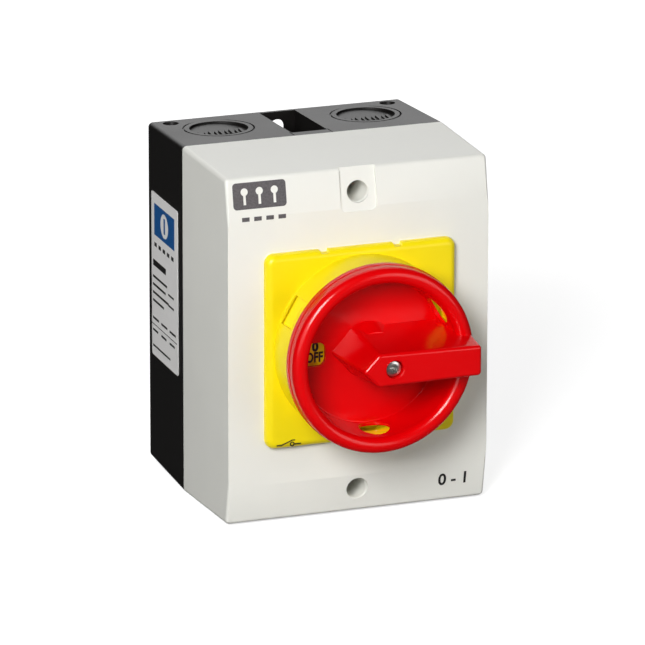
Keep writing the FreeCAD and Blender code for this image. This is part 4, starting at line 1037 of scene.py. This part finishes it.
# ------------------------------------------------------------------ base
@dataclass
class Base:
    """The black base with fixing pockets, knockouts, lip and bosses."""

    casing: Casing
    inset: Point = (1.0, 1.35)
    wall: float = 3.5
    floor: float = 2.5
    lip_in: float = 2.5
    lip_height: float = 2.0
    pocket_back: float = 2.0
    strip: float = 4.45
    seam: float = 0.4
    pocket_wall: float = 2.5
    slot_half: float = 3.0
    slot_length: float = 10.0
    knockout_x: float = 26.2
    knockout_depth: float = 17.0
    ring: Span = (11.55, 12.1)
    ring_cut: float = 0.8
    ring_draft: float = 0.12
    disc_draft: float = 0.15
    dimple_draft: float = 0.3
    disc: float = 9.9
    disc_cut: float = 1.3
    dimple: Point = (38.8, 4.6)
    dimple_radius: float = 2.7
    dimple_cut: float = 1.5
    boss_z: float = 32.0
    boss_radius: float = 4.6
    boss_front: float = 5.5
    earth: Point = (-33.0, -30.0)
    earth_half: float = 4.0
    earth_front: float = 5.5
    back_edge: float = 0.5
    rim_short: float = 0.02
    lip_way: float = 9.0
    screw_way: float = 3.2
    boss_bore: float = 1.65
    seam_back: float = 0.8
    beyond: float = 70.0
    bars: int = 9
    bar_pitch: float = 1.8
    bar_rise: float = 0.4
    bar_root: float = 0.6
    bar_foot: float = 5.4
    long_bar: Point = (0.95, 0.6)
    short_bar: Point = (0.65, 1.4)

    def build(self) -> None:
        """Makes the shell and the raised marks of its knockouts."""
        self.shell().place("base_shell", Body.BASE, Slot.BLACK, Finishes.BLACK, ["rear_box"])

    def top(self, depth: float) -> float:
        """Height of the drafted top face at a depth."""
        return self.casing.half_height - self.inset[1] * (1 - depth / self.casing.joint)

    def lean(self) -> float:
        """Angle in degrees by which the top face leans back."""
        return math.degrees(math.atan(self.inset[1] / self.casing.joint))

    def shell(self) -> Work:
        """The hollow base.

        Returns:
            The shell with its lip, pockets, knockouts and raised bars.
        """
        case = self.casing
        outer = case.drafted((case.joint, 0), self.inset)
        outer.rounded(runs_along_depth, case.corner, 5)
        outer.rounded(lambda e: at_depth(e, 0) and folds(e, 30), self.back_edge, 2)
        room_x, room_z = case.half_width - self.wall, case.half_height - self.wall
        outer.cut(Work.block((-room_x, room_x), (self.floor, case.joint + PAST),
                             (-room_z, room_z)))
        parts = [self.lip()]
        for sign in SIDES:
            span = sorted((sign * (case.half_height - case.pocket_reach - self.pocket_wall),
                           sign * (case.half_height - self.wall / 2)))
            half = case.pocket_half + self.pocket_wall
            parts.append(Work.block((-half, half), (self.floor / 2, case.joint - self.rim_short),
                                    span))
            parts.append(Work.rod((0, sign * self.boss_z), (self.floor / 2, self.boss_front),
                                  self.boss_radius))
        x, z = self.earth
        parts.append(Work.block((x - self.earth_half, x + self.earth_half),
                                (self.floor / 2, self.earth_front),
                                (z - self.earth_half, z + self.earth_half)))
        outer.joined(*parts)
        for sign in SIDES:
            outer.cut(*self.end_tools(sign))
        outer.cut(*[self.dimple_tool(sign, side) for sign in SIDES for side in SIDES])
        return outer.joined(*[mark for sign in SIDES for side in SIDES
                              for mark in self.raised_marks(sign, side)])

    def lip(self) -> Work:
        """The upstand that the cover's mouth goes over.

        Returns:
            The ring, long enough to join the walls.
        """
        case = self.casing
        out_x, out_z = case.half_width - self.lip_in, case.half_height - self.lip_in
        in_x, in_z = case.half_width - self.wall, case.half_height - self.wall
        ring = Work.block((-out_x, out_x), (case.joint - self.wall, case.joint + self.lip_height),
                          (-out_z, out_z))
        way = (case.joint - self.lip_way, case.joint + self.lip_way)
        return ring.cut(Work.block((-in_x, in_x), way, (-in_z, in_z)))

    def end_tools(self, sign: int) -> list[Work]:
        """What is cut from one end: pocket, slot, screw ways, and knockouts.

        Args:
            sign: 1 for the top end, -1 for the bottom end.

        Returns:
            The tools.
        """
        case = self.casing
        strip_back = case.joint - self.strip
        span = sorted((sign * (case.half_height - case.pocket_reach),
                       sign * (case.half_height + 2 * PAST)))
        tools = [Work.block((-case.pocket_half, case.pocket_half),
                            (self.pocket_back, strip_back), span)]
        for x in (-case.pocket_half - self.seam, case.pocket_half + self.seam):
            low, high = sorted((sign * (self.top(strip_back) - self.seam), sign * self.beyond))
            tools.append(Work.block((x - self.seam / 2, x + self.seam / 2),
                                    (strip_back - self.seam_back, case.joint + PAST), (low, high)))
        z = sign * case.screw_z
        reach = self.slot_length / 2
        half, soft = self.slot_half, self.slot_half - TOUCH
        slot = softened([(half, z + reach, soft), (half, z - reach, soft),
                         (-half, z - reach, soft), (-half, z + reach, soft)], steps=8)
        tools.append(Work.prism(slot, (-PAST, self.pocket_back + PAST)))
        tools.append(Work.rod((0, z), (strip_back - PAST, case.joint + PAST), self.screw_way))
        tools.append(Work.rod((0, sign * self.boss_z), (PAST, self.boss_front + PAST),
                              self.boss_bore, 24))
        for side in SIDES:
            tools += [self.stood(tool, sign, side) for tool in self.knockout()]
        return tools

    def dimple_tool(self, sign: int, side: int) -> Work:
        """What is cut for the round dimple near one corner of an end.

        Args:
            sign: 1 for the top end, -1 for the bottom end.
            side: 1 for the right, -1 for the left.

        Returns:
            The tool.
        """
        low, radius = -self.dimple_cut, self.dimple_radius
        hole = Work.turned([(0, low), (radius - self.dimple_draft, low), (radius, 0),
                            (radius, 3 * PAST), (0, 3 * PAST)], False, 36)
        return self.stood(hole, sign, side, *self.dimple)

    def stood(self, work: Work, sign: int, side: int, x: float | None = None,
              depth: float | None = None) -> Work:
        """Stands a tool drawn on the Y axis on the leaning top or bottom face.

        Args:
            work: the tool, drawn on the Y axis with the outside at high depth.
            sign: 1 for the top end, -1 for the bottom end.
            side: 1 for the right, -1 for the left.
            x: how far from the middle, or None for the knockout's place.
            depth: its depth, or None for the knockout's.

        Returns:
            The same work, in place.
        """
        x = self.knockout_x if x is None else x
        depth = self.knockout_depth if depth is None else depth
        work.rolled(-90 + self.lean(), "X")
        work.moved((side * x, -depth, self.top(depth)))
        if sign < 0:
            work.rolled(180, "Y")
        return work

    def knockout(self) -> list[Work]:
        """Ring groove and recessed disc, as tools.

        Returns:
            The groove and the disc, drawn round the Y axis.
        """
        inner, outer = self.ring
        high, top = 2 * PAST, 3 * PAST
        groove = Work.turned([(inner, -self.ring_cut), (outer, -self.ring_cut),
                              (outer + self.ring_draft, high),
                              (inner - self.ring_draft, high)], True, 96)
        disc = Work.turned([(0, -self.disc_cut), (self.disc - self.disc_draft, -self.disc_cut),
                            (self.disc, 2 * TOUCH), (self.disc, top), (0, top)], False, 96)
        return [groove, disc]

    def raised_marks(self, sign: int, side: int) -> list[Work]:
        """A row of plain bars raised on a knockout's disc.

        Args:
            sign: 1 for the top end, -1 for the bottom end.
            side: 1 for the right, -1 for the left.

        Returns:
            The bars, in place.
        """
        bars = []
        for index in range(self.bars):
            x = (index - self.bars // 2) * self.bar_pitch
            wide, back = self.short_bar if index % 2 else self.long_bar
            bar = Work.block((x - wide / 2, x + wide / 2),
                             (-self.disc_cut - self.bar_rise, -self.bar_root),
                             (-self.bar_foot, -back))
            bars.append(self.stood(bar, sign, side))
        return bars


# ------------------------------------------------------------------ yellow plate
@dataclass
class Plate:
    """The yellow plate with its collar, padlock ways and dial."""

    casing: Casing
    corner: float = 3.2
    edge: float = 2.4
    thick: float = 3.25
    notch_x: float = 12.8
    notch_half: float = 1.4
    notch_cut: float = 1.1
    collar_base: float = 30.8
    collar_top: float = 28.6
    collar_height: float = 13.3
    bore: float = 26.8
    dial: float = 87.2
    dial_thick: float = 2.2
    dial_room: float = 19.5
    shaft_way: float = 6.9
    hasp_half: float = 5.2
    hasp_angles: tuple[float, ...] = (-30.0, -150.0, -270.0)
    stop_circle: float = 12.0
    stop_half: float = 1.9
    ink: float = 0.04
    mark_at: float = 18.7
    room_lap: float = 0.6
    root: float = 1.2
    root_flare: float = 0.2
    top_edge: float = 0.4
    mouth_edge: float = 0.3
    notch_flare: float = 0.4
    way_out: float = 0.8
    way_lip: float = 0.9
    way_rise: float = 5.6
    way_roof: float = 13.7
    way_in: Point = (23.5, 7.6)
    way_bend: Point = (25.5, 7.4)
    way_foot: Point = (29.9, 1.6)
    groove_half: float = 45.0
    groove_steps: int = 24
    sign_high: float = 2.9
    sign_bold: float = 0.24
    sign_at: Point = (0.75, 2.0)
    word_high: float = 3.3
    word_bold: float = 0.17
    word_narrow: float = 0.74
    word_at: Point = (0.4, -1.6)
    line_half: float = 0.2
    symbol_lines: tuple[tuple[Point, Point], ...] = (
        ((-29.9, -31.7), (-28.2, -31.7)), ((-28.2, -31.7), (-24.2, -30.2)),
        ((-23.6, -31.7), (-21.4, -31.7)), ((-24.9, -30.3), (-23.5, -30.3)))
    symbol_ring: Span = (0.45, 0.85)
    symbol_ring_at: Point = (-24.5, -31.6)

    def build(self) -> None:
        """Makes the moulding and its prints."""
        self.moulding().place("plate_moulding", Body.COVER, Slot.YELLOW, Finishes.YELLOW,
                              ["yellow_escutcheon"])
        self.dial_marks()
        self.switch_symbol()

    @property
    def front(self) -> float:
        """Depth of the plate's face."""
        return self.casing.front + self.thick

    def moulding(self) -> Work:
        """Plate, collar and dial as one solid.

        Returns:
            The solid.
        """
        back = self.casing.front
        half = Extent.of("yellow_escutcheon").across[1]
        square = softened([(half, half, self.corner), (half, -half, self.corner),
                           (-half, -half, self.corner), (-half, half, self.corner)])
        plate = Work.prism(square, (back, self.front))
        plate.rounded(lambda e: at_depth(e, self.front) and folds(e, 60), self.edge, 6)
        plate.cut(Work.rod((0, 0), (back - PAST, self.front + PAST), self.dial_room, 128),
                  *[self.notch(side) for side in reversed(SIDES)])
        top = self.front + self.collar_height
        under, low = self.dial - self.dial_thick, self.front - self.root
        room = self.dial_room - self.room_lap
        profile = softened([
            (self.shaft_way, under, 0),
            (room, under, 0),
            (room, low, 0),
            (self.collar_base + self.root_flare, low, 0),
            (self.collar_base, self.front, 0),
            (self.collar_top, top, self.top_edge),
            (self.bore, top, self.mouth_edge),
            (self.bore, self.dial, 0),
            (self.shaft_way, self.dial, 0),
        ], steps=4)
        plate.joined(Work.turned(profile, True, 160))
        plate.cut(*[self.padlock_way().rolled(angle) for angle in self.hasp_angles],
                  self.stop_groove())
        return plate

    def notch(self, side: int) -> Work:
        """A small notch in the plate's top edge.

        Args:
            side: 1 for the right one, -1 for the left one.

        Returns:
            The tool that cuts it.
        """
        half = Extent.of("yellow_escutcheon").across[1]
        left, right = side * self.notch_x - self.notch_half, side * self.notch_x + self.notch_half
        low, high, flare = half - self.notch_cut, half + PAST, self.notch_flare
        outline = softened([(left - flare, high, 0), (left, low, flare),
                            (right, low, flare), (right + flare, high, 0)])
        return Work.prism(outline, (self.casing.front - PAST, self.front + PAST))

    def padlock_way(self) -> Work:
        """The slanted way for a shackle, low outside and high inside.

        Returns:
            The tool that cuts it, at the right of the collar.
        """
        outer, back = self.collar_base + self.way_out, self.casing.front
        lip, roof = self.front + self.way_lip, back + self.way_roof
        outline = [(outer, lip), (outer, self.front + self.way_rise), (self.bore - PAST, roof),
                   (self.way_in[0], roof), (self.way_in[0], back + self.way_in[1]),
                   (self.way_bend[0], back + self.way_bend[1]),
                   (self.way_foot[0], back + self.way_foot[1]), (self.way_foot[0], lip)]
        way = Work.prism(outline, (-self.hasp_half, self.hasp_half))
        return way.shaped(lambda p: Vector((p.x, -p.z, p.y))).outward()

    def stop_groove(self) -> Work:
        """Quarter-circle groove in the dial for the handle's stop pin.

        Returns:
            The tool that cuts it, with room for the whole pin at both ends.
        """
        outer, inner = self.stop_circle + self.stop_half, self.stop_circle - self.stop_half
        half = self.groove_half + math.degrees(self.stop_half / self.stop_circle)
        angles = [math.radians(-half + 2 * half * step / self.groove_steps)
                  for step in range(self.groove_steps + 1)]
        outline = [(outer * math.cos(a), outer * math.sin(a)) for a in angles]
        outline += [(inner * math.cos(a), inner * math.sin(a)) for a in reversed(angles)]
        return Work.prism(outline, (self.dial - self.dial_thick - PAST, self.dial + PAST))

    def dial_marks(self) -> None:
        """The two position marks that the handle's window shows."""
        work = Work()
        for words, sign, turn in (("OFF", "0", 0), ("ON", "1", 90)):
            big = lettering(sign, self.sign_high, 2 * self.ink, self.sign_bold)
            big.moved((self.sign_at[0], 0, self.sign_at[1]))
            small = lettering(words, self.word_high, 2 * self.ink, self.word_bold)
            small.shaped(lambda p: Vector((p.x * self.word_narrow, p.y, p.z)))
            small.moved((self.word_at[0], 0, self.word_at[1]))
            angle = math.radians(180 - turn)
            place = (self.mark_at * math.cos(angle), -self.dial, self.mark_at * math.sin(angle))
            work.beside(big.moved(place), small.moved(place))
        work.place("dial_marks", Body.COVER, Slot.YELLOW, Finishes.BLACK_INK)

    def switch_symbol(self) -> None:
        """The plain circuit symbol of a switch, at the plate's lower left."""
        half, thick = self.line_half, (self.front - self.ink, self.front + self.ink)
        work = Work()
        for start, end in self.symbol_lines:
            run = Vector(end) - Vector(start)
            bar = Work.block((0, run.length), thick, (-half, half))
            bar.rolled(-math.degrees(math.atan2(run.y, run.x)), "Y")
            work.beside(bar.moved((start[0], 0, start[1])))
        inner, outer = self.symbol_ring
        ring = Work.turned([(inner, thick[0]), (outer, thick[0]), (outer, thick[1]),
                            (inner, thick[1])], True, 32)
        work.beside(ring.moved((self.symbol_ring_at[0], 0, self.symbol_ring_at[1])))
        work.place("switch_symbol", Body.COVER, Slot.YELLOW, Finishes.BLACK_INK)


# ------------------------------------------------------------------ red handle
@dataclass
class Handle:
    """The red cup with its fat rim, arrow-shaped lever and centre screw."""

    top: float = field(init=False)
    rim: float = field(init=False)
    back: float = 87.5
    floor: float = 1.5
    cup_outer: float = 26.3
    cup_inner: Span = (25.0, 26.1)
    rim_back: float = 97.15
    rim_step: float = 0.22
    lip: float = 2.2
    crown: float = 2.65
    crest: float = 104.6
    foot_tip: float = 13.2
    top_tip: float = 10.9
    shoulder: float = 5.5
    foot_half: float = 8.1
    top_half: float = 5.6
    end_half: float = 5.0
    end_top: float = 30.2
    end_foot: float = 31.2
    lever_edge: float = 1.1
    bulge: Corner = (9.7, 7.9, 7.0)
    window: Corner = (15.0, 23.4, 4.0)
    window_corner: float = 2.4
    eye_radius: float = 5.2
    eye_depth: float = 94.4
    bore: float = 3.0
    screw_sink: float = 1.4
    bore_flare: float = 0.3
    lap: float = 0.4
    hub_edge: float = 0.5
    stop_circle: float = 12.0
    pin_back: float = 85.0
    pin_radius: float = 1.5
    eye_span: Span = (23.0, 27.2)
    screw_back: float = 84.5
    screw_shank: float = 1.95
    screw_bore: float = 2.1
    head_radius: float = 2.75
    head_height: float = 2.3
    cross: Point = (1.75, 0.42)
    cross_deep: float = 1.6
    cross_turn: float = 20.0
    cross_taper: Span = (0.35, 1.08)
    hasp_angles: tuple[float, ...] = (-30.0, -150.0, -270.0)

    def __post_init__(self) -> None:
        """Reads the handle's reach from the frame."""
        extent = Extent.of("rotary_handle")
        self.top = extent.depth[1]
        self.rim = extent.across[1]

    def build(self) -> None:
        """Makes the handle and its screw."""
        self.grip().place("handle_grip", Body.HANDLE, Slot.RED, Finishes.RED, ["rotary_handle"])
        self.screw().place("centre_screw", Body.HANDLE, Slot.BRIGHT,
                           Finishes.BY_SLOT[Slot.BRIGHT], ["handle_screw"])

    def grip(self) -> Work:
        """Cup, rim, lever, hub and stop pin as one solid.

        Returns:
            The solid.
        """
        cup = self.cup()
        lever = self.lever()
        foot, head, height = self.bulge
        floor = self.back + self.floor
        low = self.back + self.lap
        hub = Work.turned(softened([(0, low, 0), (foot, low, 0), (foot, floor, 0),
                                    (head, floor + height, self.hub_edge),
                                    (0, floor + height, 0)], False), False, 96)
        reach = self.stop_circle * math.sqrt(0.5)
        pin = Work.rod((reach, reach), (self.pin_back, self.back + 0.5), self.pin_radius, 24)
        cup.joined(lever, hub, pin)
        tools = [self.screw_way(), self.off_window()]
        near, far = self.eye_span
        for angle in self.hasp_angles:
            eye = Work.turned([(0, near), (self.eye_radius, near), (self.eye_radius, far),
                               (0, far)], False, 48)
            eye.rolled(90, "Z").moved((0, -self.eye_depth, 0))
            tools.append(eye.rolled(angle))
        cup.cut(*tools)
        return cup

    def cup(self) -> Work:
        """The cup and its rim, turned.

        Returns:
            The turned solid.
        """
        low, high = self.cup_inner
        band = self.rim - self.rim_step
        middle = self.crest - self.crown
        inner = band - 2 * self.crown
        profile = softened([
            (0, self.back, 0),
            (self.cup_outer, self.back, 0.5),
            (self.cup_outer, self.rim_back, 0.2),
            (self.rim, self.rim_back, 0.3),
            (self.rim, self.rim_back + self.lip, 0.12),
            (band, self.rim_back + self.lip + 0.3, 0.1),
            (band, self.crest, self.crown - TOUCH),
            (inner, self.crest, self.crown - TOUCH),
            (high, middle - 1.2, 0.6),
            (low, self.back + self.floor, 0.35),
            (0, self.back + self.floor, 0),
        ], False, 8)
        return Work.turned(profile, False, 160)

    def lever_outline(self, tip: float, half: float, half_end: float, end: float) -> list[Point]:
        """The lever's plan at one depth."""
        return [(-tip, 0), (-self.shoulder, -half), (end, -half_end), (end, half_end),
                (-self.shoulder, half)]

    def lever(self) -> Work:
        """The tapering lever, trimmed to the cup and the rim.

        Returns:
            The bar, which ends inside the cup and the rim.
        """
        foot = self.lever_outline(self.foot_tip, self.foot_half, self.foot_half, self.end_foot)
        crown = self.lever_outline(self.top_tip, self.top_half, self.end_half, self.end_top)
        low = self.back + self.lap
        bar = Work.prism(foot, (low, self.top))
        ways = {(round(a[0], 3), round(a[1], 3)): b for a, b in zip(foot, crown)}

        def tapered(point: Vector) -> Vector:
            """Draws the front of the lever in to its own outline.

            Args:
                point: a vertex of the straight bar.

            Returns:
                Its place on the tapered bar.
            """
            if -point.y < self.top - TOUCH:
                return point
            x, z = ways[(round(point.x, 3), round(point.z, 3))]
            return Vector((x, point.y, z))

        bar.shaped(tapered)
        bar.rounded(lambda e: folds(e, 15) and not at_depth(e, low), self.lever_edge, 5)
        middle = (self.rim_back + self.crest) / 2
        inner, outer, high = self.cup_outer - 0.3, self.rim - 0.1, self.top + 2 * PAST
        envelope = Work.turned([(0, self.back), (inner, self.back), (inner, middle),
                                (outer, middle), (outer, high), (0, high)], False, 160)
        return bar.combined([envelope], "INTERSECT")

    def screw_way(self) -> Work:
        """The bore for the centre screw, with a small flare.

        Returns:
            The tool that cuts it.
        """
        seat = self.top - self.screw_sink - self.head_height
        back, front, wide = self.back - PAST, self.top + 2 * PAST, self.bore + self.bore_flare
        return Work.turned([(0, back), (self.screw_bore, back), (self.screw_bore, seat),
                            (self.bore, seat), (self.bore, self.top - 0.25),
                            (wide, self.top + 0.05), (wide, front), (0, front)], False, 64)

    def off_window(self) -> Work:
        """The rounded window that shows the position mark.

        Returns:
            The tool that cuts it.
        """
        inner, outer, half = self.window
        radius = self.window_corner
        outline = softened([(-inner, half, radius), (-inner, -half, radius),
                            (-outer, -half, radius), (-outer, half, radius)])
        return Work.prism(outline, (self.back - PAST, self.back + self.floor + PAST))

    def screw(self) -> Work:
        """A low pan-head screw with a tapered cross recess.

        Returns:
            The head and its shank as one solid.
        """
        top = self.top - self.screw_sink
        seat, radius = top - self.head_height, self.head_radius
        head = softened([(0, seat, 0), (radius, seat, 0), (radius, top - 0.15, 0.5),
                         (1.6, top + 0.12, 1.5), (0, top + 0.15, 0)], False)
        screw = Work.turned(head, False, 64)
        screw.joined(Work.rod((0, 0), (self.screw_back, seat + 0.1), self.screw_shank, 32))
        bars = []
        long, wide = self.cross
        deep, shallow = self.cross_taper
        for angle in (0, 90):
            bar = Work.block((-long, long), (top - self.cross_deep, top + PAST), (-wide, wide))
            bar.shaped(lambda p: Vector((p.x * (deep if -p.y < top - PAST else shallow),
                                         p.y, p.z)))
            bars.append(bar.rolled(angle + self.cross_turn))
        return screw.cut(*bars)


# ------------------------------------------------------------------ label
@dataclass
class Label:
    """The grey film on the left side of the base, with plain printed bars."""

    casing: Casing
    back: float = 3.8
    width: float = 28.7
    height: float = 57.2
    middle: float = 7.6
    thick: float = 0.17
    ink: float = 0.02
    inset: float = 1.0
    corner: float = 1.0
    buried: float = 0.02
    emblem_depth: Span = (7.0, 29.0)
    emblem_up: Span = (21.6, 32.6)
    emblem_bar: tuple[Span, Span] = ((17.2, 18.8), (24.4, 29.8))
    opening: float = 4.2
    line_half: float = 0.42
    dash_count: int = 5
    dash_first: float = 7.0
    dash_pitch: float = 4.6
    dash_length: float = 2.6
    dash_up: Span = (17.6, 19.0)
    heading: tuple[Span, Span] = ((5.5, 19.5), (10.6, 12.8))
    lines_near: float = 5.2
    lines_top: float = 6.8
    lines_pitch: float = 2.8
    line_lengths: tuple[float, ...] = (15.5, 14.0, 17.5, 12.0)
    side_marks: tuple[tuple[Span, Span], ...] = (
        ((22.0, 28.2), (0.6, 1.3)), ((22.0, 28.2), (4.3, 5.0)), ((4.0, 31.4), (-10.2, -9.9)))
    table_rows: tuple[float, ...] = (-7.8, -12.0)
    table_first: float = 5.0
    table_pitch: float = 9.2
    table_length: float = 6.6
    table_half: float = 0.4
    foot_line: tuple[Span, Span] = ((5.0, 24.0), (-17.9, -17.2))

    def build(self) -> None:
        """Makes the film and its prints."""
        low, high = self.middle - self.height / 2, self.middle + self.height / 2
        near, far = self.back, self.back + self.width
        soft = self.corner
        outline = softened([(near, high, soft), (far, high, soft), (far, low, soft),
                            (near, low, soft)])
        film = Work.prism(outline, (-self.buried, self.thick))
        self.applied(film).place("label_sheet", Body.BASE, Slot.LABEL, Finishes.FILM,
                                 ["rating_label"])
        self.printed("label_print", self.dark_marks(), Finishes.BLACK_INK)
        self.printed("label_emblem", self.emblem(), Finishes.BLUE_INK)

    def applied(self, work: Work) -> Work:
        """Lays work drawn in depth and Z on the drafted left side.

        Args:
            work: the film or the marks, drawn flat.

        Returns:
            The same work, in place.
        """
        casing = self.casing

        def place(point: Vector) -> Vector:
            """From (depth, -height over the side, Z) to the frame.

            Args:
                point: a vertex as (depth, -height over the side, Z).

            Returns:
                Its place on the side.
            """
            depth, out = point.x, -point.y
            side = casing.half_width - self.inset * (1 - depth / casing.joint)
            return Vector((-side - out, -depth, point.z))

        return work.shaped(place).outward()

    def printed(self, name: str, marks: list[Work], ink: Finish) -> None:
        """Places a group of flat marks as one piece."""
        work = Work().beside(*marks)
        self.applied(work).place(name, Body.BASE, Slot.LABEL, ink)

    def bar(self, depth: Span, up: Span) -> Work:
        """One printed bar."""
        return Work.block(depth, (self.thick - TOUCH, self.thick + self.ink), up)

    def emblem(self) -> list[Work]:
        """A plain blue block with a round opening and a bar in it.

        Returns:
            The block and the bar.
        """
        block = self.bar(self.emblem_depth, self.emblem_up)
        centre = (sum(self.emblem_depth) / 2, sum(self.emblem_up) / 2)
        block.cut(Work.rod(centre, (-PAST, 2 * PAST), self.opening, 48))
        return [block, self.bar(*self.emblem_bar)]

    def dark_marks(self) -> list[Work]:
        """Plain bars in place of the printed lines.

        Returns:
            The bars.
        """
        starts = [self.dash_first + self.dash_pitch * index for index in range(self.dash_count)]
        marks = [self.bar((near, near + self.dash_length), self.dash_up) for near in starts]
        marks.append(self.bar(*self.heading))
        for index, reach in enumerate(self.line_lengths):
            z = self.lines_top - self.lines_pitch * index
            marks.append(self.bar((self.lines_near, self.lines_near + reach),
                                  (z - self.line_half, z + self.line_half)))
        marks += [self.bar(*mark) for mark in self.side_marks]
        for row, z in enumerate(self.table_rows):
            for index in range(3):
                near = self.table_first + self.table_pitch * index
                marks.append(self.bar((near, near + self.table_length - row),
                                      (z - self.table_half, z + self.table_half)))
        marks.append(self.bar(*self.foot_line))
        return marks


# ------------------------------------------------------------------ studio
@dataclass
class Studio:
    """Pale floor, soft lights and the camera."""

    target: tuple[float, float, float] = (-0.00098, -0.0487, -0.0022)
    distance: float = 2.175
    azimuth: float = -20.533
    elevation: float = 16.783
    roll: float = 0.112
    focal: float = 364.39
    sensor: float = 36.0
    floor_z: float = -0.06
    floor_size: float = 6.0
    floor_seen: float = 0.92
    floor_glow: float = 0.62
    floor_bounced: float = 0.35
    floor_mirrored: float = 0.06
    room_light: float = 0.03

    def build(self) -> None:
        """Makes everything."""
        self.camera()
        self.floor()
        self.lights()

    def camera(self) -> None:
        """A long lens, up and to the left of the front."""
        data = bpy.data.cameras.new("camera")
        data.lens = self.focal
        data.sensor_width = self.sensor
        data.clip_start, data.clip_end = 0.1, 20
        item = bpy.data.objects.new("camera", data)
        turn, rise = math.radians(self.azimuth), math.radians(self.elevation)
        back = Vector((math.sin(turn) * math.cos(rise), -math.cos(turn) * math.cos(rise),
                       math.sin(rise)))
        item.location = Vector(self.target) + back * self.distance
        aim = (-back).to_track_quat("-Z", "Y").to_matrix()
        item.rotation_mode = "QUATERNION"
        item.rotation_quaternion = (aim @ Matrix.Rotation(math.radians(self.roll), 3, "Z")
                                    ).to_quaternion()
        bpy.context.scene.collection.objects.link(item)
        bpy.context.scene.camera = item

    def floor(self) -> None:
        """A wide pale floor just under the object.

        The camera sees it brighter than the light that it bounces or mirrors, so that the
        background is even and pale and the object keeps its shading.
        """
        mesh = bmesh.new()
        bmesh.ops.create_grid(mesh, x_segments=1, y_segments=1, size=self.floor_size)
        shape = bpy.data.meshes.new("floor")
        mesh.to_mesh(shape)
        mesh.free()
        graph = Graph("pale_floor")
        rays = graph.node("ShaderNodeLightPath", {})
        seen = Signal(graph, rays.outputs["Is Camera Ray"])
        shone = Signal(graph, rays.outputs["Is Glossy Ray"])
        bounced = graph.blend(shone, grey(self.floor_bounced), grey(self.floor_mirrored))
        tone = graph.blend(seen, bounced, grey(self.floor_seen))
        glow = graph.blend(seen, grey(0), grey(self.floor_glow))
        shape.materials.append(graph.surface(Base_Color=tone, Roughness=0.9,
                                             Specular_IOR_Level=0.0, Emission_Color=glow,
                                             Emission_Strength=1.0))
        item = bpy.data.objects.new("floor", shape)
        item.location = (0, 0, self.floor_z)
        bpy.context.scene.collection.objects.link(item)

    def lights(self) -> None:
        """A dim room, a key from the upper left, two broad back lights and a front fill.

        The last lamp shows only in gloss, as a sheen on the left of what is round.
        """
        world = bpy.data.worlds.new("room")
        world.use_nodes = True
        shine = world.node_tree.nodes["Background"].inputs
        shine["Color"].default_value = grey(1)
        shine["Strength"].default_value = self.room_light
        bpy.context.scene.world = world
        self.lamp("key", (-0.5, -0.75, 0.43), 0.34, 8.5)
        self.lamp("back_top", (0.1, 0.95, 0.85), 1.3, 6.0)
        self.lamp("back_low", (0.54, 1.45, 0.46), 1.4, 5.0)
        self.lamp("front_fill", (0.95, -1.5, 0.3), 1.0, 7.0)
        sheen = self.lamp("left_sheen", (-1.1, -0.9, 0.15), 1.1, 6.5)
        sheen.visible_diffuse = False
        bpy.context.scene.view_settings.view_transform = "Standard"

    def lamp(self, name: str, place: tuple[float, float, float], side: float,
             power: float) -> bpy.types.Object:
        """A square soft light that looks at the object.

        Args:
            name: the lamp's name.
            place: where it stands, in metres.
            side: its square's side, in metres.
            power: its power in watts.

        Returns:
            The lamp.
        """
        data = bpy.data.lights.new(name, "AREA")
        data.shape = "SQUARE"
        data.size = side
        data.energy = power
        item = bpy.data.objects.new(name, data)
        item.location = place
        aim = Vector(self.target) - Vector(place)
        item.rotation_mode = "QUATERNION"
        item.rotation_quaternion = aim.to_track_quat("-Z", "Y")
        bpy.context.scene.collection.objects.link(item)
        return item


def dress(frame: dict[str, object]) -> None:
    """Gives every CAD node that stays the finish of its slot.
    """
    slots = {entry["node"]: Slot(entry["material_slot"]) for entry in frame["record"]["subparts"]}
    for name, item in frame["nodes"].items():
        item.data.materials.clear()
        item.data.materials.append(Finishes.BY_SLOT[slots[name]].material())
        for face in item.data.polygons:
            face.material_index = 0


def main() -> None:
    """Builds the object round the frame."""
    logging.basicConfig(level=logging.INFO, format="%(name)s: %(message)s")
    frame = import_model()
    dress(frame)
    casing = Casing()
    Cover(casing).build()
    Base(casing).build()
    Plate(casing).build()
    Handle().build()
    Label(casing).build()
    Studio().build()


if __name__ == "__main__":
    main()
